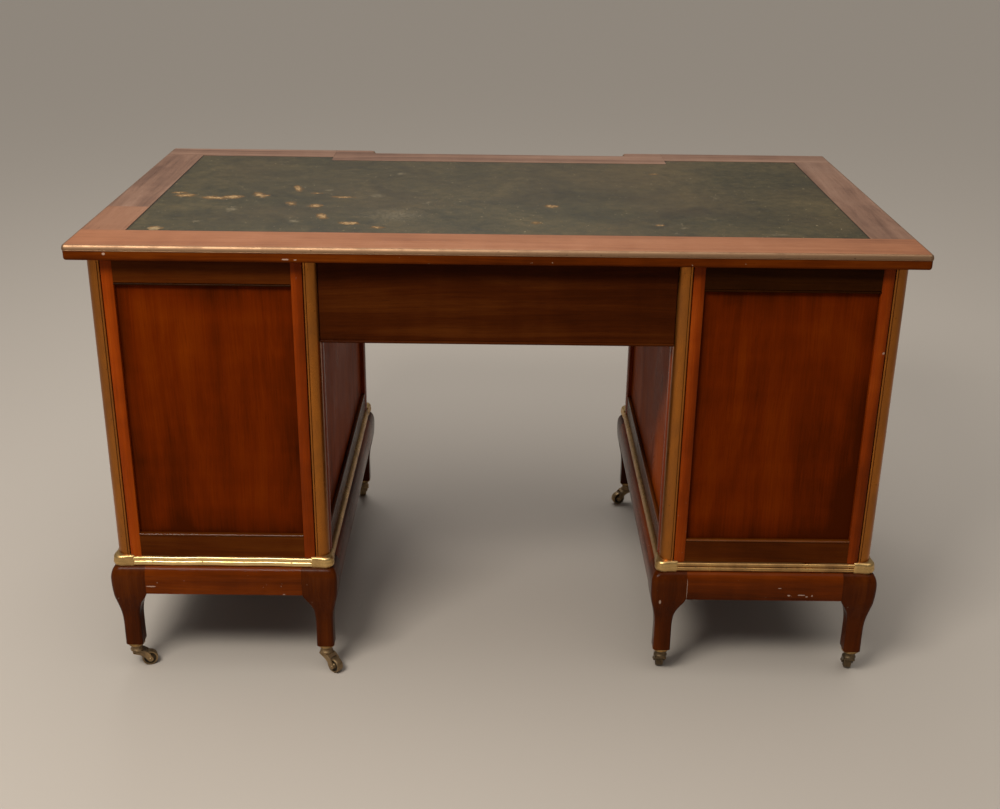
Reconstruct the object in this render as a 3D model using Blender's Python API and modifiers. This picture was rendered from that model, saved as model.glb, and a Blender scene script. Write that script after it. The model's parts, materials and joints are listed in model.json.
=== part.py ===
"""A kneehole writing desk with a leather-lined top, two drawer pedestals and castored plinths.

Units are metres and +Z is up. The origin is on the floor under the middle of the top. The sitter
is on the -Y side, where the seven drawers open, and a visitor is on the +Y side. Left, right,
front and back are the sitter's.
"""

import math

import bmesh
import bpy
from mathutils import Matrix, Vector

# The desk as a whole.
HEIGHT = 0.770
WIDTH = 1.320
DEPTH = 0.740
GAP = 0.0003  # between pieces that touch

# The top, its stepped front edge, its brass edging and its leather.
TOP_THICKNESS = 0.0245
STEP_HALF_WIDTH = 0.250
STEP_DEPTH = 0.025
OUTER_CORNER_RADIUS = 0.006
STEP_CORNER_RADIUS = 0.009
EDGING_THICKNESS = 0.0040
EDGING_HEIGHT = 0.0098
LEATHER_SIDE_MARGIN = 0.074
LEATHER_BACK_MARGIN = 0.0917
LEATHER_FRONT_MARGIN = 0.0687
LEATHER_STEP_MARGIN = 0.0744
LEATHER_STEP_HALF_WIDTH = 0.3277
LEATHER_THICKNESS = 0.0015
LEATHER_RECESS = 0.0020

# The pedestals.
SIDE_OVERHANG = 0.025
END_OVERHANG = 0.027
PEDESTAL_WIDTH = 0.356
PEDESTAL_OUTER_X = WIDTH / 2 - SIDE_OVERHANG
PEDESTAL_INNER_X = PEDESTAL_OUTER_X - PEDESTAL_WIDTH
PEDESTAL_CENTRE_X = (PEDESTAL_OUTER_X + PEDESTAL_INNER_X) / 2
PEDESTAL_HALF_WIDTH = PEDESTAL_WIDTH / 2
PEDESTAL_Y = DEPTH / 2 - END_OVERHANG
COLUMN_RADIUS = 0.022
STILE_WIDTH = 0.019
SIDE_STILE_WIDTH = 0.026
FRAME_THICKNESS = 0.020
PANEL_RECESS = 0.008
BOTTOM_RAIL_HEIGHT = 0.042
TOP_RAIL_HEIGHT = 0.046
OPENING_HALF_WIDTH = PEDESTAL_HALF_WIDTH - COLUMN_RADIUS - STILE_WIDTH

# Heights, from the floor up.
LEG_FOOT_Z = 0.0513
PLINTH_BOTTOM_Z = 0.158
PLINTH_TOP_Z = 0.208
MOULDING_TOP_Z = 0.2247
CASE_BOTTOM_Z = MOULDING_TOP_Z + GAP
TOP_UNDERSIDE_Z = HEIGHT - TOP_THICKNESS
CASE_TOP_Z = TOP_UNDERSIDE_Z - GAP
FRIEZE_BOTTOM_Z = 0.606
BOARD_THICKNESS = 0.016
DRAWER_HEAD_Z = 0.730
PANEL_BOTTOM_Z = MOULDING_TOP_Z + BOTTOM_RAIL_HEIGHT
PANEL_TOP_Z = TOP_UNDERSIDE_Z - TOP_RAIL_HEIGHT
BASE_REBATE = 0.010

# The frieze and the drawer space over the kneehole.
KNEEHOLE_HALF_WIDTH = PEDESTAL_INNER_X - GAP
FRIEZE_RECESS = 0.009
FRIEZE_THICKNESS = 0.018
KNEEHOLE_FRONT_Y = -DEPTH / 2 + STEP_DEPTH + END_OVERHANG
KNEEHOLE_RAIL_DEPTH = 0.040

# Each bay of a pedestal: its name, floor and head.
BAYS = (
    ("bottom", 0.262, 0.436),
    ("middle", 0.452, FRIEZE_BOTTOM_Z),
    ("top", FRIEZE_BOTTOM_Z + BOARD_THICKNESS, DRAWER_HEAD_Z),
)
GUIDE_HEIGHT = 0.014

# Drawers.
FRONT_THICKNESS = 0.018
FRONT_REVEAL = 0.0015
FRONT_SET_BACK = 0.0005
TRAY_LENGTH = 0.560
CENTRE_TRAY_LENGTH = 0.540
TRAY_WALL = 0.009
TRAY_FLOOR = 0.008
TRAY_SIDE_CLEARANCE = 0.00125
TRAY_FLOOR_CLEARANCE = 0.001
TRAY_HEAD_CLEARANCE = 0.014
CENTRE_KNOB_X = 0.160

# The plinth, its legs and the brass moulding over it.
PLINTH_RAIL_INSET = 0.016
PLINTH_RAIL_SET_BACK = 0.0004
PLINTH_CORNER_RADIUS = 0.004
MOULDING_PROJECTION = 0.0048
MOULDING_CORNER_RADIUS = 0.010
LEG_CHAMFER = 0.006
LEG_AXIS_INSET = 0.0126
# A leg's stations, foot to knee: height, how far it stands out, how far it reaches in.
LEG_STATIONS = (
    (LEG_FOOT_Z, 0.0024, 0.0274),
    (0.0850, 0.0022, 0.0272),
    (0.1050, 0.0027, 0.0274),
    (0.1210, 0.0046, 0.0292),
    (0.1350, 0.0076, 0.0335),
    (0.1470, 0.0105, 0.0400),
    (PLINTH_BOTTOM_Z, 0.0122, 0.0460),
    (0.1760, 0.0132, 0.0460),
    (0.1890, 0.0129, 0.0460),
    (0.1980, 0.0108, 0.0460),
    (0.2045, 0.0070, 0.0460),
    (0.2078, 0.0025, 0.0460),
)

# Casters: the wheel trails behind the swivel axis by CASTER_TRAIL.
WHEEL_RADIUS = 0.0135
WHEEL_HALF_WIDTH = 0.0065
WHEEL_BORE = 0.0026
AXLE_RADIUS = 0.0022
CASTER_TRAIL = 0.020
CASTER_PLATE_RADIUS = 0.0145
FORK_INNER = 0.0072
FORK_OUTER = 0.0100
YOKE_BOTTOM_Z = 0.0285
YOKE_TOP_Z = 0.0330

SIDES = {"left": -1, "right": 1}
ENDS = {"front": -1, "back": 1}
EDGES = {"inner": -1, "outer": 1}
# The direction in which each wheel trails at rest, in degrees about +Z from +X.
CASTER_ANGLES = {
    "right_back_outer": 200,
    "right_back_inner": 142,
    "right_front_inner": 285,
    "right_front_outer": 235,
    "left_back_inner": 266,
    "left_back_outer": 259,
    "left_front_inner": 20,
    "left_front_outer": 300,
}

# Base colour, roughness and metallic value.
FINISHES = {
    "mahogany_top": ((0.27, 0.10, 0.05), 0.30, 0.0),
    "mahogany_case": ((0.12, 0.025, 0.006), 0.25, 0.0),
    "mahogany_plinth": ((0.08, 0.018, 0.006), 0.28, 0.0),
    "drawer_lining": ((0.42, 0.26, 0.12), 0.60, 0.0),
    "leather": ((0.055, 0.058, 0.035), 0.50, 0.0),
    "brass": ((0.45, 0.27, 0.08), 0.32, 1.0),
    "wheel_brass": ((0.20, 0.13, 0.06), 0.45, 1.0),
}


def clear_scene():
    for old in list(bpy.data.objects):
        bpy.data.objects.remove(old, do_unlink=True)


def new_collection(name):
    collection = bpy.data.collections.new(name)
    bpy.context.scene.collection.children.link(collection)
    return collection


def new_material(name, color, roughness, metallic):
    material = bpy.data.materials.new(name)
    material.use_nodes = True
    shader = material.node_tree.nodes["Principled BSDF"]
    shader.inputs["Base Color"].default_value = (*color, 1.0)
    shader.inputs["Roughness"].default_value = roughness
    shader.inputs["Metallic"].default_value = metallic
    return material


clear_scene()
DESK = new_collection("writing_desk")
CUTTERS = new_collection("cutters")
MATERIALS = {name: new_material(name, *finish) for name, finish in FINISHES.items()}


# Meshes ------------------------------------------------------------------------------------------


def finished(bm):
    """The mesh of a bmesh, with its faces pointing out."""
    bmesh.ops.recalc_face_normals(bm, faces=bm.faces)
    mesh = bpy.data.meshes.new("shape")
    bm.to_mesh(mesh)
    bm.free()
    return mesh


def box_mesh(size):
    bm = bmesh.new()
    bmesh.ops.create_cube(bm, size=1.0)
    bmesh.ops.scale(bm, vec=size, verts=bm.verts)
    return finished(bm)


def cone_mesh(radius_low, radius_high, length, segments):
    bm = bmesh.new()
    bmesh.ops.create_cone(
        bm, cap_ends=True, segments=segments, radius1=radius_low, radius2=radius_high, depth=length
    )
    return finished(bm)


def loft_mesh(loops, closed=False):
    """A mesh through loops of equal length, capped at both ends or joined end to end."""
    bm = bmesh.new()
    rings = [[bm.verts.new(point) for point in loop] for loop in loops]
    pairs = list(zip(rings, rings[1:]))
    if closed:
        pairs.append((rings[-1], rings[0]))
    else:
        bm.faces.new(rings[0])
        bm.faces.new(rings[-1])
    for ring, following in pairs:
        for i in range(len(ring)):
            j = (i + 1) % len(ring)
            bm.faces.new((ring[i], ring[j], following[j], following[i]))
    return finished(bm)


def outline_mesh(points, thickness):
    """A flat plate of an outline in XY, centred on its own mid-plane."""
    curve = bpy.data.curves.new("outline", "CURVE")
    curve.dimensions = "2D"
    curve.fill_mode = "BOTH"
    curve.extrude = thickness / 2
    spline = curve.splines.new("POLY")
    spline.points.add(len(points) - 1)
    for vertex, (x, y) in zip(spline.points, points):
        vertex.co = (x, y, 0, 1)
    spline.use_cyclic_u = True
    holder = bpy.data.objects.new("outline", curve)
    bpy.context.scene.collection.objects.link(holder)
    bpy.context.view_layer.update()
    evaluated = holder.evaluated_get(bpy.context.evaluated_depsgraph_get())
    bm = bmesh.new()
    plate = bpy.data.meshes.new_from_object(evaluated)
    bm.from_mesh(plate)
    bpy.data.objects.remove(holder)
    bpy.data.meshes.remove(plate)
    bmesh.ops.remove_doubles(bm, verts=bm.verts, dist=0.00005)
    return finished(bm)


def rounded(points, radii, segments=4):
    """A closed outline with each corner replaced by an arc of its radius."""
    result = []
    for i, corner in enumerate(points):
        corner = Vector(corner)
        before = (Vector(points[i - 1]) - corner).normalized()
        after = (Vector(points[(i + 1) % len(points)]) - corner).normalized()
        half = before.angle(after) / 2
        centre = corner + (before + after).normalized() * radii[i] / math.sin(half)
        start = corner + before * radii[i] / math.tan(half) - centre
        turn = start.angle_signed(corner + after * radii[i] / math.tan(half) - centre)
        for k in range(segments + 1):
            arm = start.copy()
            arm.rotate(Matrix.Rotation(-turn * k / segments, 2))
            result.append(tuple(centre + arm))
    return result


def rectangle(x_low, x_high, y_low, y_high):
    return [(x_low, y_low), (x_high, y_low), (x_high, y_high), (x_low, y_high)]


def at_height(outline, z):
    return [(x, y, z) for x, y in outline]


# Objects -----------------------------------------------------------------------------------------


def add(name, mesh, material, location=(0, 0, 0), angle=0.0, parent=None):
    """A named sub-part. The angle turns it about +Z."""
    mesh.name = name
    piece = bpy.data.objects.new(name, mesh)
    if not mesh.materials:
        mesh.materials.append(MATERIALS[material])
    piece.location = location
    piece.rotation_euler = (0, 0, angle)
    DESK.objects.link(piece)
    if parent:
        piece.parent = parent
    return piece


def add_box(name, low, high, material, parent=None, offset=(0, 0, 0)):
    """A board between two corners. Its parent, if any, stands at offset."""
    low = Vector(low)
    high = Vector(high)
    return add(
        name, box_mesh(high - low), material, (low + high) / 2 - Vector(offset), parent=parent
    )


def add_empty(name, location, angle=0.0):
    empty = bpy.data.objects.new(name, None)
    empty.location = location
    empty.rotation_euler = (0, 0, angle)
    empty.empty_display_size = 0.05
    DESK.objects.link(empty)
    return empty


def boolean(piece, mesh, operation, location=(0, 0, 0), rotation=(0, 0, 0)):
    """Cuts a piece with a mesh, or joins the mesh to it."""
    tool = bpy.data.objects.new("tool", mesh)
    tool.location = location
    tool.rotation_euler = rotation
    tool.display_type = "WIRE"
    tool.hide_render = True
    CUTTERS.objects.link(tool)
    modifier = piece.modifiers.new(operation.lower(), "BOOLEAN")
    modifier.operation = operation
    modifier.object = tool


def cut_box(piece, low, high):
    low = Vector(low)
    high = Vector(high)
    boolean(piece, box_mesh(high - low), "DIFFERENCE", (low + high) / 2)


def round_edges(piece, width, segments=2):
    bevel = piece.modifiers.new("round edges", "BEVEL")
    bevel.width = width
    bevel.segments = segments


def shade_round(mesh):
    mesh.shade_smooth()
    mesh.set_sharp_from_angle(angle=math.radians(40))


def turned(name, profile, steps, closed, material, location, rotation, parent=None):
    """A profile turned about the piece's own Z axis."""
    count = len(profile)
    edges = [(i, i + 1) for i in range(count - 1)]
    if closed:
        edges.append((count - 1, 0))
    mesh = bpy.data.meshes.new(name)
    mesh.from_pydata([(radius, 0, z) for radius, z in profile], edges, [])
    piece = add(name, mesh, material, location, parent=parent)
    piece.rotation_euler = rotation
    screw = piece.modifiers.new("turn", "SCREW")
    screw.steps = steps
    screw.render_steps = steps
    screw.use_merge_vertices = True
    screw.merge_threshold = 0.00005
    screw.use_smooth_shade = True
    return piece


# The top -----------------------------------------------------------------------------------------


def top_outline(inset):
    """The top's outline with every side moved in by inset."""
    x = WIDTH / 2 - inset
    y = DEPTH / 2 - inset
    step_x = STEP_HALF_WIDTH + inset
    step_y = STEP_DEPTH + inset - DEPTH / 2
    points = [(x, y), (-x, y), (-x, -y), (-step_x, -y)]
    points += [(-step_x, step_y), (step_x, step_y), (step_x, -y), (x, -y)]
    outer = OUTER_CORNER_RADIUS - inset
    step = STEP_CORNER_RADIUS - inset
    hollow = OUTER_CORNER_RADIUS + inset
    return rounded(points, [outer, outer, outer, step, hollow, hollow, step, outer])


def leather_outline(inset):
    x = WIDTH / 2 - LEATHER_SIDE_MARGIN - inset
    back_y = DEPTH / 2 - LEATHER_BACK_MARGIN - inset
    front_y = LEATHER_FRONT_MARGIN + inset - DEPTH / 2
    step_x = LEATHER_STEP_HALF_WIDTH + inset
    step_y = STEP_DEPTH + LEATHER_STEP_MARGIN + inset - DEPTH / 2
    points = [(x, back_y), (-x, back_y), (-x, front_y), (-step_x, front_y)]
    return points + [(-step_x, step_y), (step_x, step_y), (step_x, front_y), (x, front_y)]


def make_top():
    edging_z = HEIGHT - EDGING_HEIGHT
    rebate = EDGING_THICKNESS + GAP
    ovolo = [(0.0050, TOP_UNDERSIDE_Z)]
    ovolo += [(0.0030, TOP_UNDERSIDE_Z + 0.0015), (0.0016, TOP_UNDERSIDE_Z + 0.0050)]
    ovolo += [(0.0012, edging_z - GAP), (rebate, edging_z - GAP), (rebate, HEIGHT)]
    board = add(
        "top_board", loft_mesh([at_height(top_outline(i), z) for i, z in ovolo]), "mahogany_top"
    )
    recess = outline_mesh(leather_outline(0), 2 * LEATHER_RECESS)
    boolean(board, recess, "DIFFERENCE", (0, 0, HEIGHT))
    leather_z = HEIGHT - LEATHER_RECESS + GAP + LEATHER_THICKNESS / 2
    leather = outline_mesh(leather_outline(GAP), LEATHER_THICKNESS)
    add("top_leather", leather, "leather", (0, 0, leather_z))
    crown = HEIGHT - GAP
    strip = [(EDGING_THICKNESS, edging_z), (0.0015, edging_z), (0.0003, edging_z + 0.0020)]
    strip += [(0, edging_z + 0.0048), (0.0003, crown - 0.0020), (0.0016, crown - 0.0004)]
    strip += [(EDGING_THICKNESS, crown)]
    edging = loft_mesh([at_height(top_outline(i), z) for i, z in strip], closed=True)
    add("top_brass_edge", edging, "brass")


# The pedestals -----------------------------------------------------------------------------------


def span(side, x_low, x_high):
    """A stretch of X on the right pedestal, moved to the asked side."""
    return sorted((side * x_low, side * x_high))


def pedestal_outline(side, inset):
    x_low, x_high = span(side, PEDESTAL_INNER_X + inset, PEDESTAL_OUTER_X - inset)
    return rectangle(x_low, x_high, inset - PEDESTAL_Y, PEDESTAL_Y - inset)


def corners():
    """Each corner of each pedestal: its name, its point, and which way it faces in X and Y."""
    for side_name, side in SIDES.items():
        for end_name, end in ENDS.items():
            for edge_name, edge in EDGES.items():
                x = side * (PEDESTAL_OUTER_X if edge > 0 else PEDESTAL_INNER_X)
                yield f"{side_name}_{end_name}_{edge_name}", x, end * PEDESTAL_Y, side * edge, end


def facing(way_x, way_y):
    """The turn that takes a corner piece drawn for (+X, +Y) to the corner that faces this way."""
    return math.atan2(way_y, way_x) - math.radians(45)


def make_case(side_name, side):
    """A pedestal's case: frames, side panels, drawer boards and drawer guides."""
    loops = [
        at_height(pedestal_outline(side, BASE_REBATE), PLINTH_TOP_Z + GAP),
        at_height(pedestal_outline(side, BASE_REBATE), CASE_BOTTOM_Z),
        at_height(pedestal_outline(side, 0), CASE_BOTTOM_Z),
        at_height(pedestal_outline(side, 0), CASE_TOP_Z),
    ]
    case = add(f"{side_name}_case", loft_mesh(loops), "mahogany_case")
    beyond = 0.010
    rebate = COLUMN_RADIUS + GAP
    for name, x, y, way_x, way_y in corners():
        if name.startswith(side_name):
            x_low, x_high = sorted((x - way_x * rebate, x + way_x * beyond))
            y_low, y_high = sorted((y - way_y * rebate, y + way_y * beyond))
            floor = CASE_BOTTOM_Z - 0.001
            cut_box(case, (x_low, y_low, floor), (x_high, y_high, CASE_TOP_Z + beyond))
    panel_y = PEDESTAL_Y - COLUMN_RADIUS - SIDE_STILE_WIDTH
    for x_low, x_high in (
        span(side, PEDESTAL_INNER_X - beyond, PEDESTAL_INNER_X + PANEL_RECESS),
        span(side, PEDESTAL_OUTER_X - PANEL_RECESS, PEDESTAL_OUTER_X + beyond),
    ):
        cut_box(case, (x_low, -panel_y, PANEL_BOTTOM_Z), (x_high, panel_y, PANEL_TOP_Z))
    centre = side * PEDESTAL_CENTRE_X
    inside = PEDESTAL_HALF_WIDTH - FRAME_THICKNESS
    back_y = PEDESTAL_Y - FRAME_THICKNESS
    for _, floor, head in BAYS:
        low = (centre - OPENING_HALF_WIDTH, -PEDESTAL_Y - beyond, floor)
        cut_box(case, low, (centre + OPENING_HALF_WIDTH, back_y, head))
        low = (centre - inside, -back_y, floor + GUIDE_HEIGHT)
        cut_box(case, low, (centre + inside, back_y, head))
    lip_y = PEDESTAL_Y - PANEL_RECESS
    low = (centre - OPENING_HALF_WIDTH, lip_y - GAP, PANEL_BOTTOM_Z)
    cut_box(case, low, (centre + OPENING_HALF_WIDTH, PEDESTAL_Y + beyond, PANEL_TOP_Z))
    tongue = PANEL_RECESS
    low = (centre - OPENING_HALF_WIDTH - tongue, back_y - GAP, PANEL_BOTTOM_Z - tongue)
    high = (centre + OPENING_HALF_WIDTH + tongue, lip_y, PANEL_TOP_Z + tongue)
    cut_box(case, low, high)
    low = [value + GAP for value in low]
    high = [value - GAP for value in high]
    add_box(f"{side_name}_back_panel", low, high, "mahogany_case")


def make_columns():
    """Quarter-round brass columns in the rebates of the eight corners."""
    steps = 8
    arc = [math.radians(90 * k / steps) for k in range(steps + 1)]
    inner = -COLUMN_RADIUS
    outline = [(inner, inner)]
    outline += [
        (inner + COLUMN_RADIUS * math.cos(t), inner + COLUMN_RADIUS * math.sin(t)) for t in arc
    ]
    mesh = outline_mesh(outline, CASE_TOP_Z - CASE_BOTTOM_Z)
    shade_round(mesh)
    middle_z = (CASE_TOP_Z + CASE_BOTTOM_Z) / 2
    for name, x, y, way_x, way_y in corners():
        add(f"column_{name}", mesh, "brass", (x, y, middle_z), facing(way_x, way_y))


# The plinths -------------------------------------------------------------------------------------


def leg_mesh():
    """A cabriole leg and its corner block, drawn for a corner that faces (+X, +Y)."""
    loops = []
    for z, out, inward in LEG_STATIONS:
        low = -inward
        cut = LEG_CHAMFER
        outline = [(low + cut, low), (out - cut, low), (out, low + cut), (out, out - cut)]
        outline += [(out - cut, out), (low + cut, out), (low, out - cut), (low, low + cut)]
        loops.append(at_height(outline, z))
    return loft_mesh(loops)


def make_plinth(side_name, side):
    """The four rails of a plinth with their rounded upper edge, and its four legs."""
    rail = [
        (PLINTH_RAIL_SET_BACK - out, z) for z, out, _ in LEG_STATIONS if z >= PLINTH_BOTTOM_Z
    ]
    rail += [(PLINTH_RAIL_INSET, PLINTH_TOP_Z), (PLINTH_RAIL_INSET, PLINTH_BOTTOM_Z)]
    loops = []
    for inset, z in rail:
        radius = max(PLINTH_CORNER_RADIUS - inset, 0.001)
        loops.append(at_height(rounded(pedestal_outline(side, inset), [radius] * 4), z))
    plinth = add(f"{side_name}_plinth", loft_mesh(loops, closed=True), "mahogany_plinth")
    leg = leg_mesh()
    for name, x, y, way_x, way_y in corners():
        if name.startswith(side_name):
            boolean(plinth, leg, "UNION", (x, y, 0), (0, 0, facing(way_x, way_y)))


def make_moulding(side_name, side):
    """The brass moulding round a pedestal's foot: two beads, one over the other."""
    low = PLINTH_TOP_Z + GAP
    out = -MOULDING_PROJECTION
    bead = (MOULDING_TOP_Z - low) / 2
    profile = [(BASE_REBATE - GAP, low)]
    for k, foot in enumerate((low, low + bead)):
        shoulder = out + 0.0006 * k
        profile += [(shoulder + 0.0022, foot + 0.0002), (shoulder, foot + bead * 0.28)]
        profile += [(shoulder, foot + bead * 0.72)]
    profile += [(out + 0.0030, MOULDING_TOP_Z), (BASE_REBATE - GAP, MOULDING_TOP_Z)]
    loops = []
    for inset, z in profile:
        radius = MOULDING_CORNER_RADIUS - inset
        loops.append(at_height(rounded(pedestal_outline(side, inset), [radius] * 4), z))
    add(f"{side_name}_plinth_moulding", loft_mesh(loops, closed=True), "brass")


# The space over the kneehole ---------------------------------------------------------------------


def make_kneehole():
    x = KNEEHOLE_HALF_WIDTH
    panel_back = PEDESTAL_Y - FRIEZE_RECESS
    panel_front = panel_back - FRIEZE_THICKNESS
    add_box(
        "frieze_panel",
        (-x, panel_front, FRIEZE_BOTTOM_Z),
        (x, panel_back, CASE_TOP_Z),
        "mahogany_case",
    )
    add_box(
        "kneehole_dust_board",
        (-x, KNEEHOLE_FRONT_Y, FRIEZE_BOTTOM_Z),
        (x, panel_front - GAP, FRIEZE_BOTTOM_Z + BOARD_THICKNESS),
        "mahogany_case",
    )
    add_box(
        "kneehole_top_rail",
        (-x, KNEEHOLE_FRONT_Y, DRAWER_HEAD_Z + GAP),
        (x, KNEEHOLE_FRONT_Y + KNEEHOLE_RAIL_DEPTH, CASE_TOP_Z),
        "mahogany_case",
    )


# Drawers -----------------------------------------------------------------------------------------


def knob_profile():
    """A turned knob with a rosette, from its crown down to its back."""
    length = 0.0225
    ball = 0.0098
    crown_z = length - ball
    profile = [(0, length)]
    profile += [
        (ball * math.sin(math.radians(a)), crown_z + ball * math.cos(math.radians(a)))
        for a in (30, 60, 90, 120, 142)
    ]
    return profile + [(0.0048, 0.0045), (0.0060, 0.0028), (0.0128, 0.0016), (0.0128, 0), (0, 0)]


def make_drawer(name, x_low, x_high, floor, head, face_y, tray_length, knobs):
    """A drawer's front, tray and knobs, all hung on an empty on its line of travel."""
    face_y += FRONT_SET_BACK
    centre = ((x_low + x_high) / 2, face_y, (floor + head) / 2)
    slide = add_empty(f"slide_{name}", centre)
    back_y = face_y + FRONT_THICKNESS
    front = add_box(
        f"{name}_drawer_front",
        (x_low + FRONT_REVEAL, face_y, floor + FRONT_REVEAL),
        (x_high - FRONT_REVEAL, back_y, head - FRONT_REVEAL),
        "mahogany_case",
        slide,
        centre,
    )
    round_edges(front, 0.0012, 1)
    x_low += TRAY_SIDE_CLEARANCE
    x_high -= TRAY_SIDE_CLEARANCE
    y_low = back_y + GAP
    y_high = y_low + tray_length
    floor += TRAY_FLOOR_CLEARANCE
    head -= TRAY_HEAD_CLEARANCE
    outer = rectangle(x_low, x_high, y_low, y_high)
    wall = TRAY_WALL
    inner = rectangle(x_low + wall, x_high - wall, y_low + wall, y_high - wall)
    loops = [at_height(outer, floor), at_height(outer, head)]
    loops += [at_height(inner, head), at_height(inner, floor + TRAY_FLOOR)]
    loops = [[Vector(point) - Vector(centre) for point in loop] for loop in loops]
    add(f"{name}_drawer_tray", loft_mesh(loops), "drawer_lining", parent=slide)
    for knob, x in knobs.items():
        turned(
            knob,
            knob_profile(),
            14,
            False,
            "brass",
            (x, -GAP, 0),
            (math.radians(90), 0, 0),
            slide,
        )


def make_drawers():
    knobs = {"centre_drawer_knob_left": -CENTRE_KNOB_X, "centre_drawer_knob_right": CENTRE_KNOB_X}
    _, floor, head = BAYS[-1]
    x = KNEEHOLE_HALF_WIDTH
    make_drawer("centre", -x, x, floor, head, KNEEHOLE_FRONT_Y, CENTRE_TRAY_LENGTH, knobs)
    for side_name, side in SIDES.items():
        for bay, floor, head in BAYS:
            name = f"{side_name}_{bay}"
            centre = side * PEDESTAL_CENTRE_X
            x_low = centre - OPENING_HALF_WIDTH
            x_high = centre + OPENING_HALF_WIDTH
            knobs = {f"{name}_drawer_knob": 0}
            make_drawer(name, x_low, x_high, floor, head, -PEDESTAL_Y, TRAY_LENGTH, knobs)


# Casters -----------------------------------------------------------------------------------------


def fork_mesh():
    """A caster's plate, neck, yoke, cheeks and axle in one casting, trailing along its own +X."""
    plate_z = LEG_FOOT_Z - GAP
    plate_height = 0.004
    neck_height = plate_z - plate_height - YOKE_TOP_Z + 0.002
    plate = cone_mesh(CASTER_PLATE_RADIUS, CASTER_PLATE_RADIUS, plate_height, 16)
    fork = add("fork", plate, "brass", (0, 0, plate_z - plate_height / 2))
    neck = cone_mesh(0.0075, 0.0100, neck_height, 12)
    neck_z = plate_z - plate_height + 0.001 - neck_height / 2
    boolean(fork, neck, "UNION", (0, 0, neck_z))
    yoke_x = (-0.0090, 0.0110)
    yoke = box_mesh((yoke_x[1] - yoke_x[0], 2 * FORK_OUTER, YOKE_TOP_Z - YOKE_BOTTOM_Z))
    boolean(fork, yoke, "UNION", (sum(yoke_x) / 2, 0, (YOKE_TOP_Z + YOKE_BOTTOM_Z) / 2))
    drop = YOKE_TOP_Z - WHEEL_RADIUS - 0.0005
    reach = CASTER_TRAIL + 0.0058
    cheek = [(-0.0085, drop), (-0.0085, drop - 0.003), (0.0125, -0.0050), (reach - 0.002, -0.0050)]
    cheek += [(reach, -0.0030), (reach, 0.0040), (0.0120, drop)]
    for way in (-1, 1):
        plate = outline_mesh(cheek, FORK_OUTER - FORK_INNER)
        y = way * (FORK_OUTER + FORK_INNER) / 2
        boolean(fork, plate, "UNION", (0, y * 0.999, WHEEL_RADIUS), (math.radians(90), 0, 0))
    axle = cone_mesh(AXLE_RADIUS, AXLE_RADIUS, 2 * FORK_OUTER - 0.001, 10)
    boolean(fork, axle, "UNION", (CASTER_TRAIL, 0, WHEEL_RADIUS), (math.radians(90), 0, 0))
    bpy.context.view_layer.update()
    evaluated = fork.evaluated_get(bpy.context.evaluated_depsgraph_get())
    mesh = bpy.data.meshes.new_from_object(evaluated)
    mesh.transform(fork.matrix_world)
    bpy.data.objects.remove(fork)
    shade_round(mesh)
    return mesh


def wheel_profile():
    """Half a wheel's section: bore, face, rounded tread and back to the bore."""
    bevel = 0.0015
    half = WHEEL_HALF_WIDTH
    profile = [(WHEEL_BORE, half), (WHEEL_RADIUS - bevel, half), (WHEEL_RADIUS, half - bevel)]
    return profile + [(radius, -z) for radius, z in reversed(profile)]


def make_casters():
    fork = fork_mesh()
    for name, x, y, way_x, way_y in corners():
        axis = (x - way_x * LEG_AXIS_INSET, y - way_y * LEG_AXIS_INSET, 0)
        swivel = add_empty(f"swivel_{name}", axis, math.radians(CASTER_ANGLES[name]))
        add(f"caster_fork_{name}", fork, "brass", parent=swivel)
        turned(
            f"caster_wheel_{name}",
            wheel_profile(),
            20,
            True,
            "wheel_brass",
            (CASTER_TRAIL, 0, WHEEL_RADIUS),
            (math.radians(90), 0, 0),
            swivel,
        )


make_top()
make_kneehole()
make_columns()
for pedestal_name, pedestal_side in SIDES.items():
    make_case(pedestal_name, pedestal_side)
    make_plinth(pedestal_name, pedestal_side)
    make_moulding(pedestal_name, pedestal_side)
make_drawers()
make_casters()
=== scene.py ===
"""The looks of a kneehole writing desk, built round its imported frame.

Metres, +Z up. The sitter and the drawers are on the -Y side, a visitor on the +Y side. Left and
right are the sitter's. Every piece is made where it stands, so its vertices are in the frame's
coordinates, and each board has a number of its own that shifts its grain.
"""

import itertools
import json
import math

import bmesh
import bpy
from mathutils import Matrix, Vector, noise


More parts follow.
